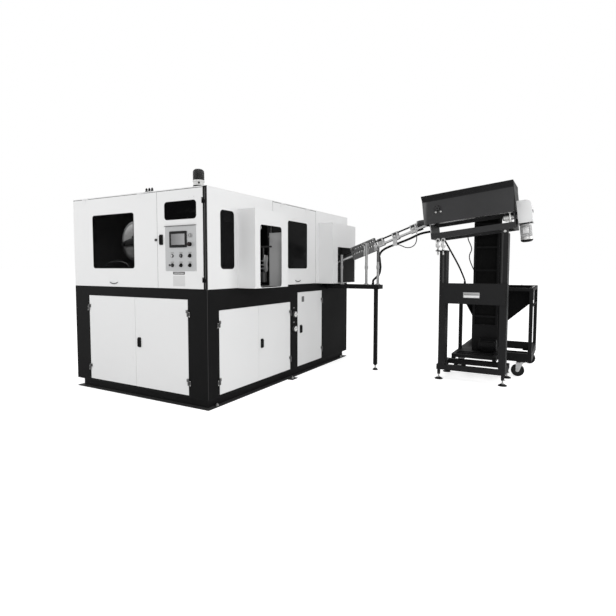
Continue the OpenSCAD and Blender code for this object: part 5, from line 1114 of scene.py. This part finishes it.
# Elevator, hopper and cart
# Black folded channels with a cleated rubber belt and its geared motor, the
# sheet hopper behind it with zinc bolts round its rim, and the welded tube cart.
belt_rubber = black_paint("elevator coat and belt", patches=[
    ([((1852, 2826, 380), (2093, 2980, 2262))], grey(0.003), 0.75, 0.0)])
coat_node(belt_rubber, "elevator")
cart_coat = black_paint("cart black coat", patches=[
    # Painted highlight: the thin lighter band over the cart's top faces at 300 mm height.
    ([((1650, 2452, 299.4), (1786, 2862, 301)), ((1786, 2452, 299.4), (2150, 2650, 301))],
     grey(0.10), 0.5, 0.0)])
hopper_coat = black_paint("hopper black coat", (0.0035, 0.0035, 0.0037), 0.6, 0.05, depth=0.1)
coat_node(hopper_coat, "hopper")
coat_node(cart_coat, "cart_frame")
cart_brace = bmesh.new()
block(cart_brace, (2474, 2896, 848), (2492, 3834, 870), 2)
settle(cart_brace, "cart_brace", hopper_coat, "machine")
elevator_bolts = bmesh.new()
for x in (1839, 2106):
    for z in (330, 620, 1435, 1850, 2230):
        hex_bolt(elevator_bolts, (x, 2802, z), 8, "-y")
for y in (2816, 2988):
    for z in (386, 2200):
        hex_bolt(elevator_bolts, (2119, y, z), 10, "+x")
settle(elevator_bolts, "elevator_bolts", black_coat, "machine")
RIM_LEFT, RIM_RIGHT, RIM_REAR, RIM_TOP = 1672, 2475, 3850, 1080
hopper_bolts = bmesh.new()
for x in (1700, 1900, 2100, 2300, 2460):
    hex_bolt(hopper_bolts, (x, RIM_REAR, RIM_TOP), 8)
for y in (3040, 3240, 3440, 3640, 3830):
    hex_bolt(hopper_bolts, (RIM_RIGHT, y, RIM_TOP), 8)
    hex_bolt(hopper_bolts, (RIM_LEFT, y, RIM_TOP), 8)
settle(hopper_bolts, "hopper_rim_bolts", zinc, "machine")
BOOT_Y, BOOT_Z = 2724, 384
boot_motor = bmesh.new()
fins(boot_motor, 18, (1936, BOOT_Y, BOOT_Z), "X", (8, 66, -2), (167, 76, 2), 0.8)
settle(boot_motor, "elevator_motor_fins", belt_rubber, "machine")
boot_flange = bmesh.new()
turned(boot_flange, [(52, 0), (66, 0), (68, 2), (68, 8), (66, 10), (52, 10), (52, 0)],
       (2108, BOOT_Y, BOOT_Z), "+x", 40)
turned(boot_flange, [(40, 0), (44, 0), (45, 1), (45, 3), (40, 3), (40, 0)], (1930, BOOT_Y, BOOT_Z), "-x", 36)
settle(boot_flange, "elevator_motor_flange", ground_steel, "machine")


# Casters
# Two swivelling and two fixed casters: pressed bright forks, black rubber tyres
# on moulded hubs that turn on steel axles.
fork_steel = surface("caster fork steel", grey(0.62), 0.34, metallic=0.4, spread=0.2, patch=30)
tyre_rubber = surface("black tyre rubber", grey(0.009), 0.65, specular=0.2, spread=0.15, grain=900)
hub_alloy = surface("black moulded wheel hub", grey(0.012), 0.45, specular=0.3, spread=0.1, patch=20)
coat_node(fork_steel, "caster_fork_left", "caster_fork_right")
AXLE_Z = 75
WHEELS = {"wheel_front_left": (1666, 2916), "wheel_front_right": (2345, 2916),
          "wheel_rear_left": (1742, 3825), "wheel_rear_right": (2421, 3825)}


def both_sides(profile):
    """A half profile, outer edge first, and its mirror image."""
    return profile + [(radius, -height) for radius, height in reversed(profile)]


for node, (x, y) in WHEELS.items():
    tyre = bmesh.new()
    turned(tyre, both_sides([(52, -14), (66, -17), (71, -15), (74, -10), (75, -4)]) + [(50, 0), (52, -14)],
           (x, y, AXLE_Z), "+y", 48)
    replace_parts(settle(tyre, node + "_tyre", tyre_rubber, node), node)
    hub = bmesh.new()
    turned(hub, both_sides([(8.1, -17), (18, -17), (20, -15), (22, -8), (44, -8), (47, -12), (52.5, -12.5)])
           + [(8.1, -17)], (x, y, AXLE_Z), "+y", 40)
    settle(hub, node + "_hub", hub_alloy, node)
for side in ("left", "right"):
    fork = "caster_fork_" + side
    x, y = WHEELS["wheel_front_" + side]
    nuts = bmesh.new()
    for step, way in ((-29, "-y"), (29, "+y")):
        hex_bolt(nuts, (x, y + step, AXLE_Z), 12, way)
    turned(nuts, [(0, 0), (18, 0), (20, 2), (20, 6), (14, 9), (0, 9)], (x + 38, y, 168), "-z", 28)
    settle(nuts, fork + "_nuts", zinc, fork)
